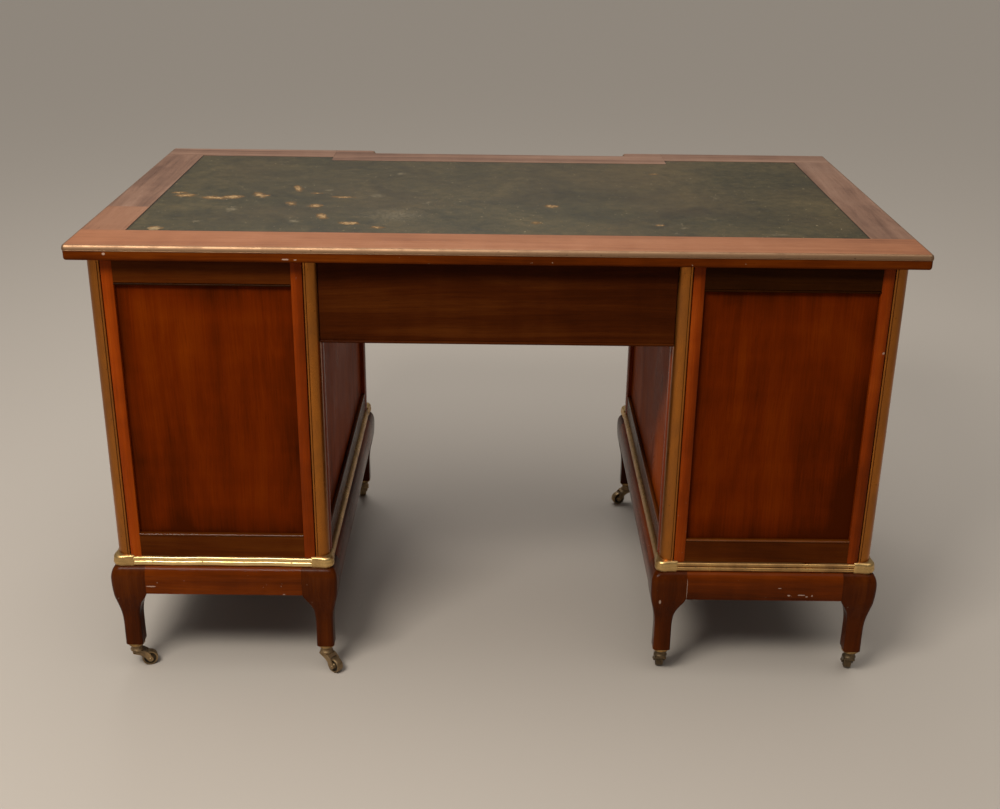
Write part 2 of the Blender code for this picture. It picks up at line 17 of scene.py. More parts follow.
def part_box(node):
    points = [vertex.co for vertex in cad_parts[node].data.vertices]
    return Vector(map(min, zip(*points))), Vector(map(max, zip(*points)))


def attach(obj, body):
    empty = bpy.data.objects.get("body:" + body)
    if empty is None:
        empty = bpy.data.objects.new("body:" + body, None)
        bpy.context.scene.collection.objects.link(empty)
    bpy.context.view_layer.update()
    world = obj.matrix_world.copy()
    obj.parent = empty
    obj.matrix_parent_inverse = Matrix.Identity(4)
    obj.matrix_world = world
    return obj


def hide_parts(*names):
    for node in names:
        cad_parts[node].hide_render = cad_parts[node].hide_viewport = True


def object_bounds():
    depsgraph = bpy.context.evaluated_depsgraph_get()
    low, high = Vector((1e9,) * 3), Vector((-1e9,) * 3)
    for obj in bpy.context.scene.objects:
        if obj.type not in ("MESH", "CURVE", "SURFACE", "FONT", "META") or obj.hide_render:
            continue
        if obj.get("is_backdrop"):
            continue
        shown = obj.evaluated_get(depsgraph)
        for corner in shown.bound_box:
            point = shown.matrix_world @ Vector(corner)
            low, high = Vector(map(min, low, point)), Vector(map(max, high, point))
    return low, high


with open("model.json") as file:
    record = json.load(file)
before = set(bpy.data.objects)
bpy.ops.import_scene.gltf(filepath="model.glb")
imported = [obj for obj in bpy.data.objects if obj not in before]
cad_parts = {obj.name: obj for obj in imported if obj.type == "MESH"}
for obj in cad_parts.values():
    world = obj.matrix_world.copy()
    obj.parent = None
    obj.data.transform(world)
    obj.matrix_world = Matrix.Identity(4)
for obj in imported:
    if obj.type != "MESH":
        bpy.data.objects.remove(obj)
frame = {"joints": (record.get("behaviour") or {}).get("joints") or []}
CAD_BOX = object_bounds()

# Sizes that the frame gives.
BOARD_LOW, BOARD_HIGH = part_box("top_board")
EDGE_LOW, EDGE_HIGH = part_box("top_brass_edge")
LEATHER_LOW, LEATHER_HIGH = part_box("top_leather")
CASE_LOW, CASE_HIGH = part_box("right_case")
PANEL_LOW, PANEL_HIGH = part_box("right_back_panel")
PLINTH_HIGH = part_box("right_plinth")[1]
MOULDING_LOW, MOULDING_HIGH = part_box("right_plinth_moulding")
FRIEZE_LOW, FRIEZE_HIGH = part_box("frieze_panel")
COLUMN_LOW, COLUMN_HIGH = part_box("column_right_back_outer")

HEIGHT = BOARD_HIGH.z
HALF_WIDTH = EDGE_HIGH.x
HALF_DEPTH = EDGE_HIGH.y
UNDERSIDE_Z = BOARD_LOW.z
OUTER_X = CASE_HIGH.x
INNER_X = CASE_LOW.x
PEDESTAL_X = (OUTER_X + INNER_X) / 2
PEDESTAL_HALF = (OUTER_X - INNER_X) / 2
PEDESTAL_Y = CASE_HIGH.y
COLUMN_RADIUS = COLUMN_HIGH.x - COLUMN_LOW.x

# The photo's camera: its lens, its place, and its yaw, pitch and roll in radians.
SENSOR_MM = 36.0
LENS_MM = 46.774
CAMERA_PLACE = (0.002, 2.2682, 1.2983)
CAMERA_TURN = (0.0040, 0.3897, 0.0129)
# Soft boxes: place, aim, size, watts, colour.
SOFT_BOXES = {
    "key": ((1.15, 2.0, 2.55), (0.1, 0.1, 0.4), (1.2, 0.7), 66.0, (1.0, 0.97, 0.92)),
    "sitter side": ((0.3, -1.7, 2.8), (0.0, -0.3, 0.4), (1.8, 1.0), 20.0, (1.0, 1.0, 1.0)),
}
WARM_WHITE = (1.0, 0.98, 0.95)
WORLD_STRENGTH = 0.17
SKY_WATTS = 1.30
SKY_SPREAD = math.radians(70)
SKY_TILT = math.radians(-7)
FLOOR_COLOR = (0.46, 0.405, 0.345)
FLOOR_ROUGHNESS = 0.75
FLOOR_SIZE = 20.0

# Clearances between boards that don't move on each other.
GAP = 0.0003
SEAM = 0.00015
TRAY_SEAM = 0.0002
PLINTH_SEAM = 0.0002
BOARD_GAP = 0.0004

# The top. It repeats the CAD's outline.
STEP_HALF_WIDTH = 0.250
STEP_DEPTH = 0.025
OUTER_CORNER_RADIUS = 0.006
STEP_CORNER_RADIUS = 0.009
CORNER_STEPS = 8
LEAST_RADIUS = 0.00005
ROUNDING = 0.00001
EDGING_WIDTH = 0.0040
LIPPING_WIDTH = 0.016
LIPPING_REVEAL = 0.0012
# The lipping's lower edge is rounded off over this much, inward and upward.
LIPPING_ROUND = (0.0034, 0.0048)
EDGING_NOSE = 0.0036
LEATHER_STEP_X = 0.3277
LEATHER_STEP_Y = -0.2706
LEATHER_CELL = 0.008
LEATHER_WAVE = 0.00012
PRESS_WIDTH = 0.004
PRESS_DEPTH = 0.00035
RIM_JOINT_Y = 0.125

# The frames of the pedestals.
FRAME_THICKNESS = 0.020
STILE_WIDTH = 0.0187
SIDE_STILE_WIDTH = 0.0257
# A stile's front is an arc: its height, and how far it stands out of the case.
STILE_RISE = 0.0026
STILE_CROWN = 0.0014
COLUMN_GAP = 0.0008
COLUMN_BEAD = 0.0021
COLUMN_SHAFT = 0.0165
CASE_FOOT_Z = COLUMN_LOW.z
PANEL_TONGUE = 0.0077
# Boards in lighter and darker copies of their finish: the darker top rail is painted shade from the
# overhang, and the paler stile is partly the board's own tone and partly painted light on the lit
# side.
LIT_AND_SHADED_BOARDS = {"right_back_stile_high": "paler lit stile", "left_back_rail_top": "shaded rail"}
RAIL_SET_BACK = 0.0010
BEAD_RADIUS = 0.0017
PANEL_RECESS = 0.008
PANEL_THICKNESS = 0.0075
# Steps in from a panel's edges: the rows of its grid, and how far its painted shade reaches.
PANEL_SHADE_STEPS = (0.0, 0.012, 0.030, 0.055)
PANEL_BOTTOM_Z = PANEL_LOW.z + PANEL_TONGUE
PANEL_TOP_Z = PANEL_HIGH.z - PANEL_TONGUE
DRAWER_RAIL_DEPTH = 0.040
BASE_REBATE = 0.010
GUIDE_HEIGHT = 0.014
DUST_BOARD_THICKNESS = 0.009
DRAWER_REVEAL = 0.0015

# The plinths.
PLINTH_BOTTOM_Z = 0.158
PLINTH_RAIL_INSET = 0.016
BLOCK_REACH = 0.046
ANKLE_Z = 0.125
LEG_RADIUS = 0.0065
KNEE_RADIUS = 0.0095
LEG_STEPS = 7
LEG_SMOOTHING = 5
# A leg's stations, foot to knee: height, how far it stands out, how far it reaches in.
LEG_STATIONS = (
    (0.0513, 0.0024, 0.0274),
    (0.0850, 0.0022, 0.0272),
    (0.1050, 0.0027, 0.0274),
    (0.1210, 0.0046, 0.0292),
    (0.1350, 0.0076, 0.0335),
    (0.1470, 0.0105, 0.0400),
    (PLINTH_BOTTOM_Z, 0.0122, 0.0457),
    (0.1760, 0.0132, 0.0460),
    (0.1890, 0.0129, 0.0460),
    (0.1980, 0.0108, 0.0460),
    (0.2045, 0.0070, 0.0460),
    (0.2079, 0.0025, 0.0460),
)
ELBOW_RADIUS = 0.010
ELBOW_LEG = 0.019
MOULDING_REACH = 0.0048
MOULDING_WAIST = 0.15
MOULDING_STEPS = 36
# The one strip that has come loose: it is bowed up, and its beads are nearly flat.
LOOSE_STRIP = ("right", "back")
LOOSE_WAIST = 0.5
PIN_SPACING = 0.085
PIN_PROFILE = ((0.0, 0.0018), (0.0006, 0.0016), (0.0010, 0.0011), (0.0010, 0.0), (0.0, 0.0))
ELBOW_REACH = 0.0052
ELBOW_COLLAR = 0.0013
ELBOW_SWELL = 0.0024
ELBOW_END_REACH = 0.0046

# Drawers. Profiles of turned pieces are (radius, height).
TRAY_WALL = 0.009
TRAY_FLOOR = 0.006
TRAY_FLOOR_Z = 0.002
TRAY_BACK_DROP = 0.006
COCKBEAD = 0.0030
COCKBEAD_PROUD = 0.0002
COCKBEAD_ROUND = 0.0011
COCKBEAD_DEPTH = 0.004
KNOB_RADIUS = 0.0098
KNOB_CENTRE = 0.0127
KNOB_TIP = ((0.0, 0.0225), (0.0022, 0.0224), (0.0040, 0.0219))
KNOB_STEM = ((0.0046, 0.0046), (0.0050, 0.0036), (0.0064, 0.0032), (0.0072, 0.0027))
KNOB_ROSETTE = (
    (0.0078, 0.0022), (0.0104, 0.0020), (0.0112, 0.0024), (0.0120, 0.0022),
    (0.0126, 0.0014), (0.0127, 0.0), (0.0, 0.0),
)
# Keyhole plates: half widths and half heights of the rim and the raised face.
PLATE_RIM = (0.0072, 0.0100)
PLATE_FACE = (0.0060, 0.0088)
PLATE_DEPTH = 0.0009
PLATE_PIN_Z = 0.0076
PLATE_PIN_PROFILE = ((0.0, 0.0006), (0.0005, 0.0005), (0.0008, 0.0), (0.0, 0.0))
KEYHOLE_RADIUS = 0.0019
KEYHOLE_SLOT = (0.0010, -0.0044)
KEYHOLE_Z = 0.030

# Casters.
WHEEL_RADIUS = 0.0135
WHEEL_HALF_WIDTH = 0.0065
CASTER_TRAIL = 0.020
FORK_INNER = 0.0072
FORK_OUTER = 0.0100
FORK_BOSS = 0.0050
FORK_SHOULDER_Z = 0.0330
AXLE_RADIUS = 0.0022
CASTER_NECK = (
    (0.0, 0.0464), (0.0116, 0.0464), (0.0124, 0.0457), (0.0123, 0.0443),
    (0.0113, 0.0434), (0.0098, 0.0420), (0.0091, 0.0402), (0.0093, 0.0384),
    (0.0106, 0.0366), (0.0114, 0.0352), (0.0112, 0.0337), (0.0100, 0.0326),
    (0.0, 0.0300),
)
# The fixed plate under a leg, with a double rim.
CASTER_PLATE = (
    (0.0, -0.0002), (0.0140, -0.0002), (0.0150, -0.0006), (0.0152, -0.0014),
    (0.0146, -0.0021), (0.0132, -0.0024), (0.0132, -0.0030), (0.0144, -0.0033),
    (0.0147, -0.0039), (0.0140, -0.0045), (0.0, -0.0046),
)
AXLE_HEAD = ((0.0, 0.0016), (0.0012, 0.0014), (0.0024, 0.0008), (0.0028, 0.0), (0.0, 0.0))

SIDES = {"left": -1, "right": 1}
ENDS = {"front": -1, "back": 1}
EDGES = {"inner": -1, "outer": 1}
BAYS = ("bottom", "middle", "top")

# Woods: dark, middle and light colour, then roughness, specular level, and how strong their
# streaks, clouds, pores and chips are.
WOODS = {
    "top": (
        ((0.192, 0.066, 0.028), (0.330, 0.127, 0.055), (0.430, 0.186, 0.092)),
        (0.34, 0.4, 0.9, 0.6, 0.7, 0.0),
    ),
    "top side": (
        ((0.105, 0.050, 0.030), (0.222, 0.116, 0.071), (0.315, 0.178, 0.116)),
        (0.34, 0.45, 1.3, 0.8, 0.8, 0.0),
    ),
    "top corner": (
        ((0.140, 0.058, 0.030), (0.262, 0.118, 0.062), (0.350, 0.174, 0.100)),
        (0.34, 0.42, 1.0, 0.6, 0.8, 0.0),
    ),
    "lipping": (
        ((0.040, 0.007, 0.0006), (0.098, 0.017, 0.001), (0.165, 0.036, 0.0025)),
        (0.3, 0.03, 1.2, 0.8, 0.6, 1.0),
    ),
    "panel": (
        ((0.048, 0.0066, 0.0002), (0.110, 0.013, 0.0003), (0.162, 0.024, 0.0005)),
        (0.26, 0.025, 0.6, 1.3, 0.5, 0.0),
    ),
    # Painted reflection: brighter than the panels and nearly without gloss, standing in for the
    # floor reflected in the kneehole's sides.
    "inner panel": (
        ((0.130, 0.020, 0.001), (0.285, 0.046, 0.002), (0.390, 0.074, 0.004)),
        (0.3, 0.006, 0.6, 1.3, 0.5, 0.0),
    ),
    "rail": (
        ((0.031, 0.0058, 0.0006), (0.066, 0.013, 0.001), (0.104, 0.026, 0.0024)),
        (0.24, 0.06, 1.0, 0.8, 0.6, 0.0),
    ),
    # Painted shade: a darker copy of the rail, for the overhang's shadow.
    "shaded rail": (
        ((0.010, 0.0028, 0.0004), (0.025, 0.0062, 0.0007), (0.047, 0.013, 0.0015)),
        (0.24, 0.05, 1.0, 0.8, 0.6, 0.0),
    ),
    # Painted shade: darker than the rails, for the overhang's shadow on the frieze.
    "frieze": (
        ((0.021, 0.0038, 0.0005), (0.046, 0.0086, 0.0008), (0.077, 0.018, 0.0021)),
        (0.26, 0.05, 1.2, 0.8, 0.8, 0.0),
    ),
    "stile": (
        ((0.094, 0.013, 0.0005), (0.192, 0.026, 0.0009), (0.288, 0.050, 0.0028)),
        (0.22, 0.12, 0.9, 1.1, 0.4, 0.2),
    ),
    # Partly a paler board and partly painted light: a lighter copy of the stile, for the lit side.
    "paler lit stile": (
        ((0.150, 0.020, 0.0007), (0.265, 0.038, 0.0013), (0.360, 0.066, 0.0035)),
        (0.22, 0.13, 0.9, 1.1, 0.4, 0.0),
    ),
    "bead": (
        ((0.050, 0.010, 0.001), (0.095, 0.022, 0.002), (0.145, 0.040, 0.004)),
        (0.14, 0.6, 1.0, 0.6, 0.4, 0.0),
    ),
    "plinth": (
        ((0.045, 0.008, 0.0006), (0.110, 0.018, 0.0008), (0.180, 0.034, 0.002)),
        (0.18, 0.13, 1.2, 0.9, 0.7, 0.6),
    ),
    "leg": (
        ((0.022, 0.0048, 0.0005), (0.054, 0.0094, 0.0007), (0.094, 0.019, 0.0016)),
        (0.18, 0.13, 1.0, 0.8, 0.6, 0.4),
    ),
    "oak": (
        ((0.260, 0.150, 0.065), (0.400, 0.255, 0.125), (0.500, 0.340, 0.180)),
        (0.62, 0.3, 0.9, 0.55, 1.0, 0.0),
    ),
}
POLISH_IOR = 1.3
FLECK_COLOR = (0.42, 0.30, 0.21)
BARE_WOOD = (0.50, 0.36, 0.27)
# Chips that bare pale wood: x, y, z, width, height.
CHIPS = (
    (0.596, 0.369, 0.7565, 0.006, 0.005),
    (0.322, 0.368, 0.7510, 0.014, 0.003),
    (0.307, 0.368, 0.7505, 0.006, 0.002),
    (-0.609, 0.345, 0.602, 0.005, 0.005),
    (-0.499, 0.357, 0.169, 0.007, 0.004),
    (-0.520, 0.357, 0.170, 0.016, 0.003),
    (-0.529, 0.357, 0.167, 0.005, 0.003),
    (-0.538, 0.357, 0.169, 0.003, 0.005),
    (-0.482, 0.358, 0.183, 0.008, 0.002),
    (-0.2815, 0.357, 0.153, 0.005, 0.011),
    (-0.3257, 0.357, 0.178, 0.001, 0.052),
    (0.580, 0.358, 0.1735, 0.022, 0.003),
    (0.356, 0.357, 0.160, 0.006, 0.003),
)
# Metals: clean colour, tarnished colour, roughness, share of tarnish.
METALS = {
    "edging": ((0.340, 0.198, 0.110), (0.230, 0.128, 0.068), 0.50, 0.20),
    "column": ((0.400, 0.138, 0.022), (0.240, 0.080, 0.012), 0.26, 0.45),
    "moulding": ((0.640, 0.370, 0.130), (0.270, 0.138, 0.047), 0.25, 0.44),
    # Painted light: a paler, cleaner copy of the moulding for the strip on the lit side.
    "lit moulding": ((0.820, 0.585, 0.260), (0.560, 0.350, 0.120), 0.34, 0.24),
    "elbow": ((0.700, 0.460, 0.180), (0.330, 0.190, 0.065), 0.28, 0.45),
    "knob": ((0.780, 0.530, 0.220), (0.420, 0.260, 0.090), 0.22, 0.35),
    "caster": ((0.520, 0.350, 0.170), (0.150, 0.095, 0.050), 0.34, 0.60),
    "dark caster": ((0.260, 0.175, 0.090), (0.060, 0.040, 0.022), 0.34, 0.65),
    "wheel": ((0.460, 0.310, 0.150), (0.110, 0.072, 0.040), 0.36, 0.60),
    # Dirt and painted shade in the wheels' recessed webs.
    "recess grime and shade": ((0.110, 0.080, 0.045), (0.022, 0.017, 0.012), 0.55, 0.75),
}
DARK_CASTERS = ("left_back_inner", "left_back_outer")
LEATHER_TONES = ((0.022, 0.019, 0.0090), (0.054, 0.042, 0.0170), (0.100, 0.072, 0.0290))
# Scuffs that show the leather's tan core: x, y, length, width, turn in degrees, strength.
TAN_SCUFFS = (
    (0.559, 0.020, 0.028, 0.012, 0, 0.8),
    (0.544, 0.039, 0.032, 0.018, 0, 1.0),
    (0.492, 0.054, 0.046, 0.018, -10, 0.9),
    (0.461, 0.047, 0.032, 0.022, 5, 1.0),
    (0.417, 0.030, 0.042, 0.013, 113, 1.0),
    (0.405, 0.034, 0.018, 0.012, 60, 0.7),
    (0.357, -0.023, 0.050, 0.012, 105, 1.0),
    (0.353, 0.089, 0.030, 0.014, 110, 0.7),
    (0.310, 0.104, 0.024, 0.020, 0, 0.9),
    (0.290, 0.174, 0.036, 0.013, 105, 1.0),
    (0.271, 0.039, 0.040, 0.010, 0, 0.9),
    (0.320, 0.012, 0.022, 0.009, 0, 0.6),
    (0.241, 0.219, 0.030, 0.017, 0, 1.0),
    (0.194, 0.243, 0.026, 0.012, 0, 0.7),
    (0.543, 0.263, 0.020, 0.020, 40, 1.0),
    (-0.091, 0.088, 0.022, 0.018, 10, 0.9),
    (-0.062, 0.201, 0.018, 0.012, 0, 0.8),
    (-0.292, -0.176, 0.018, 0.010, 0, 0.7),
    (-0.262, 0.208, 0.018, 0.011, 0, 0.8),
)
# Pale rubs and dust, with the same columns.
PALE_RUBS = (
    (0.170, 0.160, 0.150, 0.110, 0, 0.42),
    (0.302, -0.011, 0.009, 0.009, 0, 1.0),
    (0.333, 0.208, 0.013, 0.012, 0, 1.0),
    (0.447, 0.133, 0.018, 0.016, 0, 0.9),
    (0.184, -0.154, 0.030, 0.016, 80, 0.6),
    (0.121, 0.073, 0.024, 0.009, 80, 0.7),
    (0.542, 0.267, 0.034, 0.012, 75, 1.0),
    (0.487, 0.216, 0.020, 0.012, 20, 0.6),
    (0.447, 0.135, 0.046, 0.006, 85, 0.7),
    (0.331, 0.212, 0.020, 0.012, 30, 0.6),
    (0.300, -0.013, 0.024, 0.014, 40, 0.5),
    (0.213, 0.025, 0.034, 0.028, 0, 0.5),
    (-0.381, 0.012, 0.056, 0.018, 80, 0.4),
    (-0.298, 0.226, 0.016, 0.010, 20, 0.6),
    (-0.282, 0.258, 0.008, 0.008, 0, 1.0),
    (-0.357, 0.166, 0.016, 0.010, 60, 0.5),
    (-0.447, 0.261, 0.068, 0.010, 2, 0.5),
)


# ---- Camera, floor and lights ----


def add_camera():
    """Stands where a visitor stands, looking down at the desk's far side."""
    lens = bpy.data.cameras.new("camera")
    lens.sensor_width = SENSOR_MM
    lens.lens = LENS_MM
    camera = bpy.data.objects.new("camera", lens)
    bpy.context.scene.collection.objects.link(camera)
    yaw, pitch, roll = CAMERA_TURN
    level = math.cos(pitch)
    ahead = Vector((-math.sin(yaw) * level, -math.cos(yaw) * level, -math.sin(pitch)))
    right = Vector((-math.cos(yaw), math.sin(yaw), 0))
    up = right.cross(ahead)
    tilted_right = right * math.cos(roll) + up * math.sin(roll)
    tilted_up = up * math.cos(roll) - right * math.sin(roll)
    turn = Matrix((tilted_right, tilted_up, -ahead)).transposed()
    camera.matrix_world = Matrix.Translation(CAMERA_PLACE) @ turn.to_4x4()
    bpy.context.scene.camera = camera


def add_soft_box(name, location, aim, size, watts, color):
    """A rectangular lamp that points at a place."""
    lamp = bpy.data.lights.new(name, "AREA")
    lamp.shape = "RECTANGLE"
    lamp.size, lamp.size_y = size
    lamp.energy = watts
    lamp.color = color
    holder = bpy.data.objects.new(name, lamp)
    holder.location = location
    way = Vector(aim) - Vector(location)
    holder.rotation_euler = way.to_track_quat("-Z", "Y").to_euler()
    bpy.context.scene.collection.objects.link(holder)


def add_stage():
    """A plain pale floor, a pale world, a wide soft sky and the soft boxes."""
    scene = bpy.context.scene
    scene.view_settings.view_transform = "Standard"
    world = bpy.data.worlds.new("studio")
    scene.world = world
    world.use_nodes = True
    background = world.node_tree.nodes["Background"]
    background.inputs["Color"].default_value = (*WARM_WHITE, 1.0)
    background.inputs["Strength"].default_value = WORLD_STRENGTH
    bm = bmesh.new()
    bmesh.ops.create_grid(bm, x_segments=1, y_segments=1, size=FLOOR_SIZE)
    mesh = bpy.data.meshes.new("floor")
    bm.to_mesh(mesh)
    bm.free()
    floor = bpy.data.objects.new("floor", mesh)
    scene.collection.objects.link(floor)
    paint = bpy.data.materials.new("floor paint")
    paint.use_nodes = True
    shader = paint.node_tree.nodes["Principled BSDF"]
    shader.inputs["Base Color"].default_value = (*FLOOR_COLOR, 1.0)
    shader.inputs["Roughness"].default_value = FLOOR_ROUGHNESS
    mesh.materials.append(paint)
    floor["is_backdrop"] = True
    for name, values in SOFT_BOXES.items():
        add_soft_box(name, *values)
    sky = bpy.data.lights.new("sky", "SUN")
    sky.energy = SKY_WATTS
    sky.angle = SKY_SPREAD
    sky.color = WARM_WHITE
    holder = bpy.data.objects.new("sky", sky)
    holder.rotation_euler = (SKY_TILT, 0, 0)
    scene.collection.objects.link(holder)


# ---- Materials ----


class Graph:
    """A material's nodes, made one call at a time. Each call returns a socket."""

    def __init__(self, name):
        self.material = bpy.data.materials.new(name)
        self.material.use_nodes = True
        self.tree = self.material.node_tree
        self.tree.nodes.clear()

    def node(self, kind, settings=None, sockets=None):
        node = self.tree.nodes.new("ShaderNode" + kind)
        for key, value in (settings or {}).items():
            setattr(node, key, value)
        for key, value in (sockets or {}).items():
            self.put(node.inputs[key], value)
        return node

    def put(self, socket, value):
        if isinstance(value, bpy.types.NodeSocket):
            self.tree.links.new(value, socket)
        else:
            socket.default_value = value

    def point(self):
        return self.node("TexCoord").outputs["Object"]

    def value_of(self, attribute):
        return self.node("Attribute", {"attribute_name": attribute}).outputs["Fac"]

    def math(self, operation, first, second, kind="Math"):
        sockets = {0: first, 1: second}
        return self.node(kind, {"operation": operation}, sockets).outputs[0]

    def times(self, first, second):
        return self.math("MULTIPLY", first, second)

    def plus(self, first, second):
        return self.math("ADD", first, second)

    def swing(self, value, weight):
        """A value's distance from 0.5, times a weight."""
        return self.times(self.math("SUBTRACT", value, 0.5), weight)

    def vector(self, operation, first, second):
        return self.math(operation, first, second, "VectorMath")

    def scaled(self, vector, scale):
        return self.vector("MULTIPLY", vector, scale)

    def shake(self, vector, scale, detail, roughness, reach):
        """A shift by noise, of up to about half of reach in X, Y and Z."""
        color = self.noise(vector, scale, detail, roughness, output="Color")
        return self.scaled(self.vector("SUBTRACT", color, (0.5, 0.5, 0.5)), reach)

    def noise(self, vector, scale, detail=3.0, roughness=0.5, distortion=0.0, output="Fac"):
        sockets = {"Vector": vector, "Scale": scale, "Detail": detail}
        sockets.update({"Roughness": roughness, "Distortion": distortion})
        return self.node("TexNoise", None, sockets).outputs[output]

    def cells(self, vector, scale):
        sockets = {"Vector": vector, "Scale": scale}
        return self.node("TexVoronoi", {"feature": "DISTANCE_TO_EDGE"}, sockets).outputs["Distance"]

    def spread(self, value, low, high, to_low=0.0, to_high=1.0):
        sockets = {"Value": value, "From Min": low, "From Max": high}
        sockets.update({"To Min": to_low, "To Max": to_high})
        return self.node("MapRange", None, sockets).outputs[0]

    def ramp(self, value, stops):
        node = self.node("ValToRGB", None, {"Fac": value})
        elements = node.color_ramp.elements
        while len(elements) < len(stops):
            elements.new(0.5)
        for element, (place, color) in zip(elements, stops):
            element.position = place
            element.color = (*color, 1.0)
        return node.outputs["Color"]

    def mix(self, share, first, second, mode="MIX"):
        first = first if isinstance(first, bpy.types.NodeSocket) else (*first, 1.0)
        second = second if isinstance(second, bpy.types.NodeSocket) else (*second, 1.0)
        settings = {"data_type": "RGBA", "blend_type": mode}
        return self.node("Mix", settings, {0: share, 6: first, 7: second}).outputs[2]

    def bump(self, height, distance, strength=1.0, normal=None):
        sockets = {"Height": height, "Distance": distance, "Strength": strength}
        if normal:
            sockets["Normal"] = normal
        return self.node("Bump", None, sockets).outputs[0]

    def surface(self, **sockets):
        named = {key.replace("_", " "): value for key, value in sockets.items()}
        shader = self.node("BsdfPrincipled", None, named)
        self.node("OutputMaterial", None, {"Surface": shader.outputs[0]})
        return self.material


def cached(maker):
    """Makes each material once."""
    made = {}

    def get(*key):
        if key not in made:
            made[key] = maker(*key)
        return made[key]

    return get


def boarded_point(graph):
    """Object coordinates, moved by each board's own number."""
    board = graph.value_of("board")
    sockets = {0: board, 1: graph.times(board, 1.7), 2: graph.times(board, -1.3)}
    shift = graph.node("CombineXYZ", None, sockets).outputs[0]
    return graph.vector("ADD", graph.point(), shift)


def marked(graph, point, marks):
    """Soft ellipsoids of (place, turn, size, strength), as the strongest of them at each point."""
    strongest = None
    for place, turn, size, strength in marks:
        sockets = {"Vector": point, "Location": place, "Rotation": (0.0, 0.0, turn), "Scale": size}
        placed = graph.node("Mapping", {"vector_type": "TEXTURE"}, sockets).outputs[0]
        ball = graph.node("TexGradient", {"gradient_type": "SPHERICAL"}, {"Vector": placed})
        value = graph.times(ball.outputs["Fac"], strength)
        strongest = graph.math("MAXIMUM", strongest, value) if strongest else value
    return strongest


def chipped(graph):
    """How much pale wood shows: the listed chips, with ragged edges."""
    point = graph.point()
    torn = graph.vector("ADD", point, graph.shake(point, 420.0, 3.0, 0.6, [0.0022] * 3))
    marks = [((x, y, z), 0.0, (0.6 * w, 0.02, 0.6 * h), 1.0) for x, y, z, w, h in CHIPS]
    return graph.spread(marked(graph, torn, marks), 0.30, 0.45)


@cached
def wood(finish, axis):
    """Polished wood with its grain along an axis, 0 to 2 for X to Z."""
    (dark, middle, light), (roughness, specular, streak, cloud, pore, chip) = WOODS[finish]
    g = Graph(f"{finish} wood {'xyz'[axis]}")
    point = boarded_point(g)

    def along(lengthwise, across):
        scale = [across] * 3
        scale[axis] = lengthwise
        return scale

    waver = g.shake(g.scaled(point, along(1.3, 3.0)), 1.0, 2.0, 0.5, along(0.0, 0.05))
    bent = g.vector("ADD", point, waver)
    streaks = g.noise(g.scaled(bent, along(1.0, 34.0)), 1.0, 6.0, 0.62, 0.3)
    fibres = g.noise(g.scaled(bent, along(9.0, 420.0)), 1.0, 4.0, 0.65)
    blotches = g.noise(g.scaled(point, along(2.6, 6.5)), 1.0, 4.0, 0.6, 0.7)
    ripple = g.noise(g.scaled(bent, along(30.0, 5.0)), 1.0, 2.0, 0.5)
    pores = g.noise(g.scaled(bent, along(38.0, 820.0)), 1.0, 2.0, 0.5)
    pores = g.spread(pores, 0.60, 0.72)
    tone = g.swing(streaks, 1.25 * streak)
    for value, weight in ((fibres, 0.45), (blotches, cloud), (ripple, 0.25)):
        tone = g.plus(tone, g.swing(value, weight))
    # Painted shade: panels grow darker towards their edges, by a value set on their vertices.
    painted_shade = g.times(g.value_of("painted_shade"), 0.34)
    tone = g.math("SUBTRACT", g.plus(tone, 0.5), painted_shade)
    color = g.ramp(tone, ((0.12, dark), (0.50, middle), (0.88, light)))
    color = g.mix(g.times(pores, 0.55 * pore), color, dark)
    if chip:
        flecks = g.spread(g.noise(point, 130.0, 2.0, 0.5, 0.5), 0.745, 0.765)
        color = g.mix(g.times(flecks, chip * 0.7), color, FLECK_COLOR)
        color = g.mix(g.times(chipped(g), 0.65), color, BARE_WOOD)
    smudges = g.noise(point, 7.0, 4.0, 0.6, 0.8)
    gloss = g.spread(smudges, 0.3, 0.7, roughness - 0.05, roughness + 0.09)
    gloss = g.plus(gloss, g.times(pores, 0.12))
    relief = g.math("SUBTRACT", g.times(fibres, 0.35), g.times(pores, pore))
    normal = g.bump(relief, 0.00012, 0.5)
    normal = g.bump(g.noise(point, 55.0, 2.0), 0.0004, 0.25, normal)
    return g.surface(
        Base_Color=color,
        Roughness=gloss,
        Normal=normal,
        Specular_IOR_Level=specular,
        IOR=POLISH_IOR,
    )


@cached
def metal(finish):
    """Aged brass, browner where tarnish has spread, with dark spots and fine scratches."""
    clean, tarnished, roughness, share = METALS[finish]
    g = Graph(f"{finish} metal")
    point = g.point()
    clouds = g.noise(g.scaled(point, (1.0, 1.0, 0.35)), 30.0, 5.0, 0.6, 0.6)
    specks = g.noise(point, 420.0, 3.0, 0.6)
    tarnish = g.plus(clouds, g.swing(specks, 0.25))
    tarnish = g.spread(tarnish, 0.55 - 0.5 * share, 0.95 - 0.5 * share)
    color = g.mix(tarnish, clean, tarnished)
    spots = g.spread(g.noise(point, 190.0, 2.0, 0.5, 0.4), 0.69, 0.74)
    color = g.mix(g.times(spots, 0.6), color, [value * 0.3 for value in tarnished])
    scratches = g.noise(g.scaled(point, (300.0, 300.0, 26.0)), 1.0, 3.0, 0.6)
    gloss = g.plus(roughness, g.times(tarnish, 0.16))
    gloss = g.plus(gloss, g.swing(scratches, 0.12))
    normal = g.bump(scratches, 0.00004, 0.5)
    normal = g.bump(g.noise(point, 60.0, 2.0), 0.0004, 0.15, normal)
    metallic = g.math("SUBTRACT", 1.0, g.times(tarnish, 0.25))
    return g.surface(Base_Color=color, Roughness=gloss, Metallic=metallic, Normal=normal)


def scuffed(graph, point, scuffs):
    """How worn the leather is, from scuffs of (x, y, length, width, turn, strength)."""
    marks = [
        ((x, y, LEATHER_HIGH.z), math.radians(turn), (length * 0.75, width * 0.85, 1.0), strength)
        for x, y, length, width, turn, strength in scuffs
    ]
    return marked(graph, point, marks)


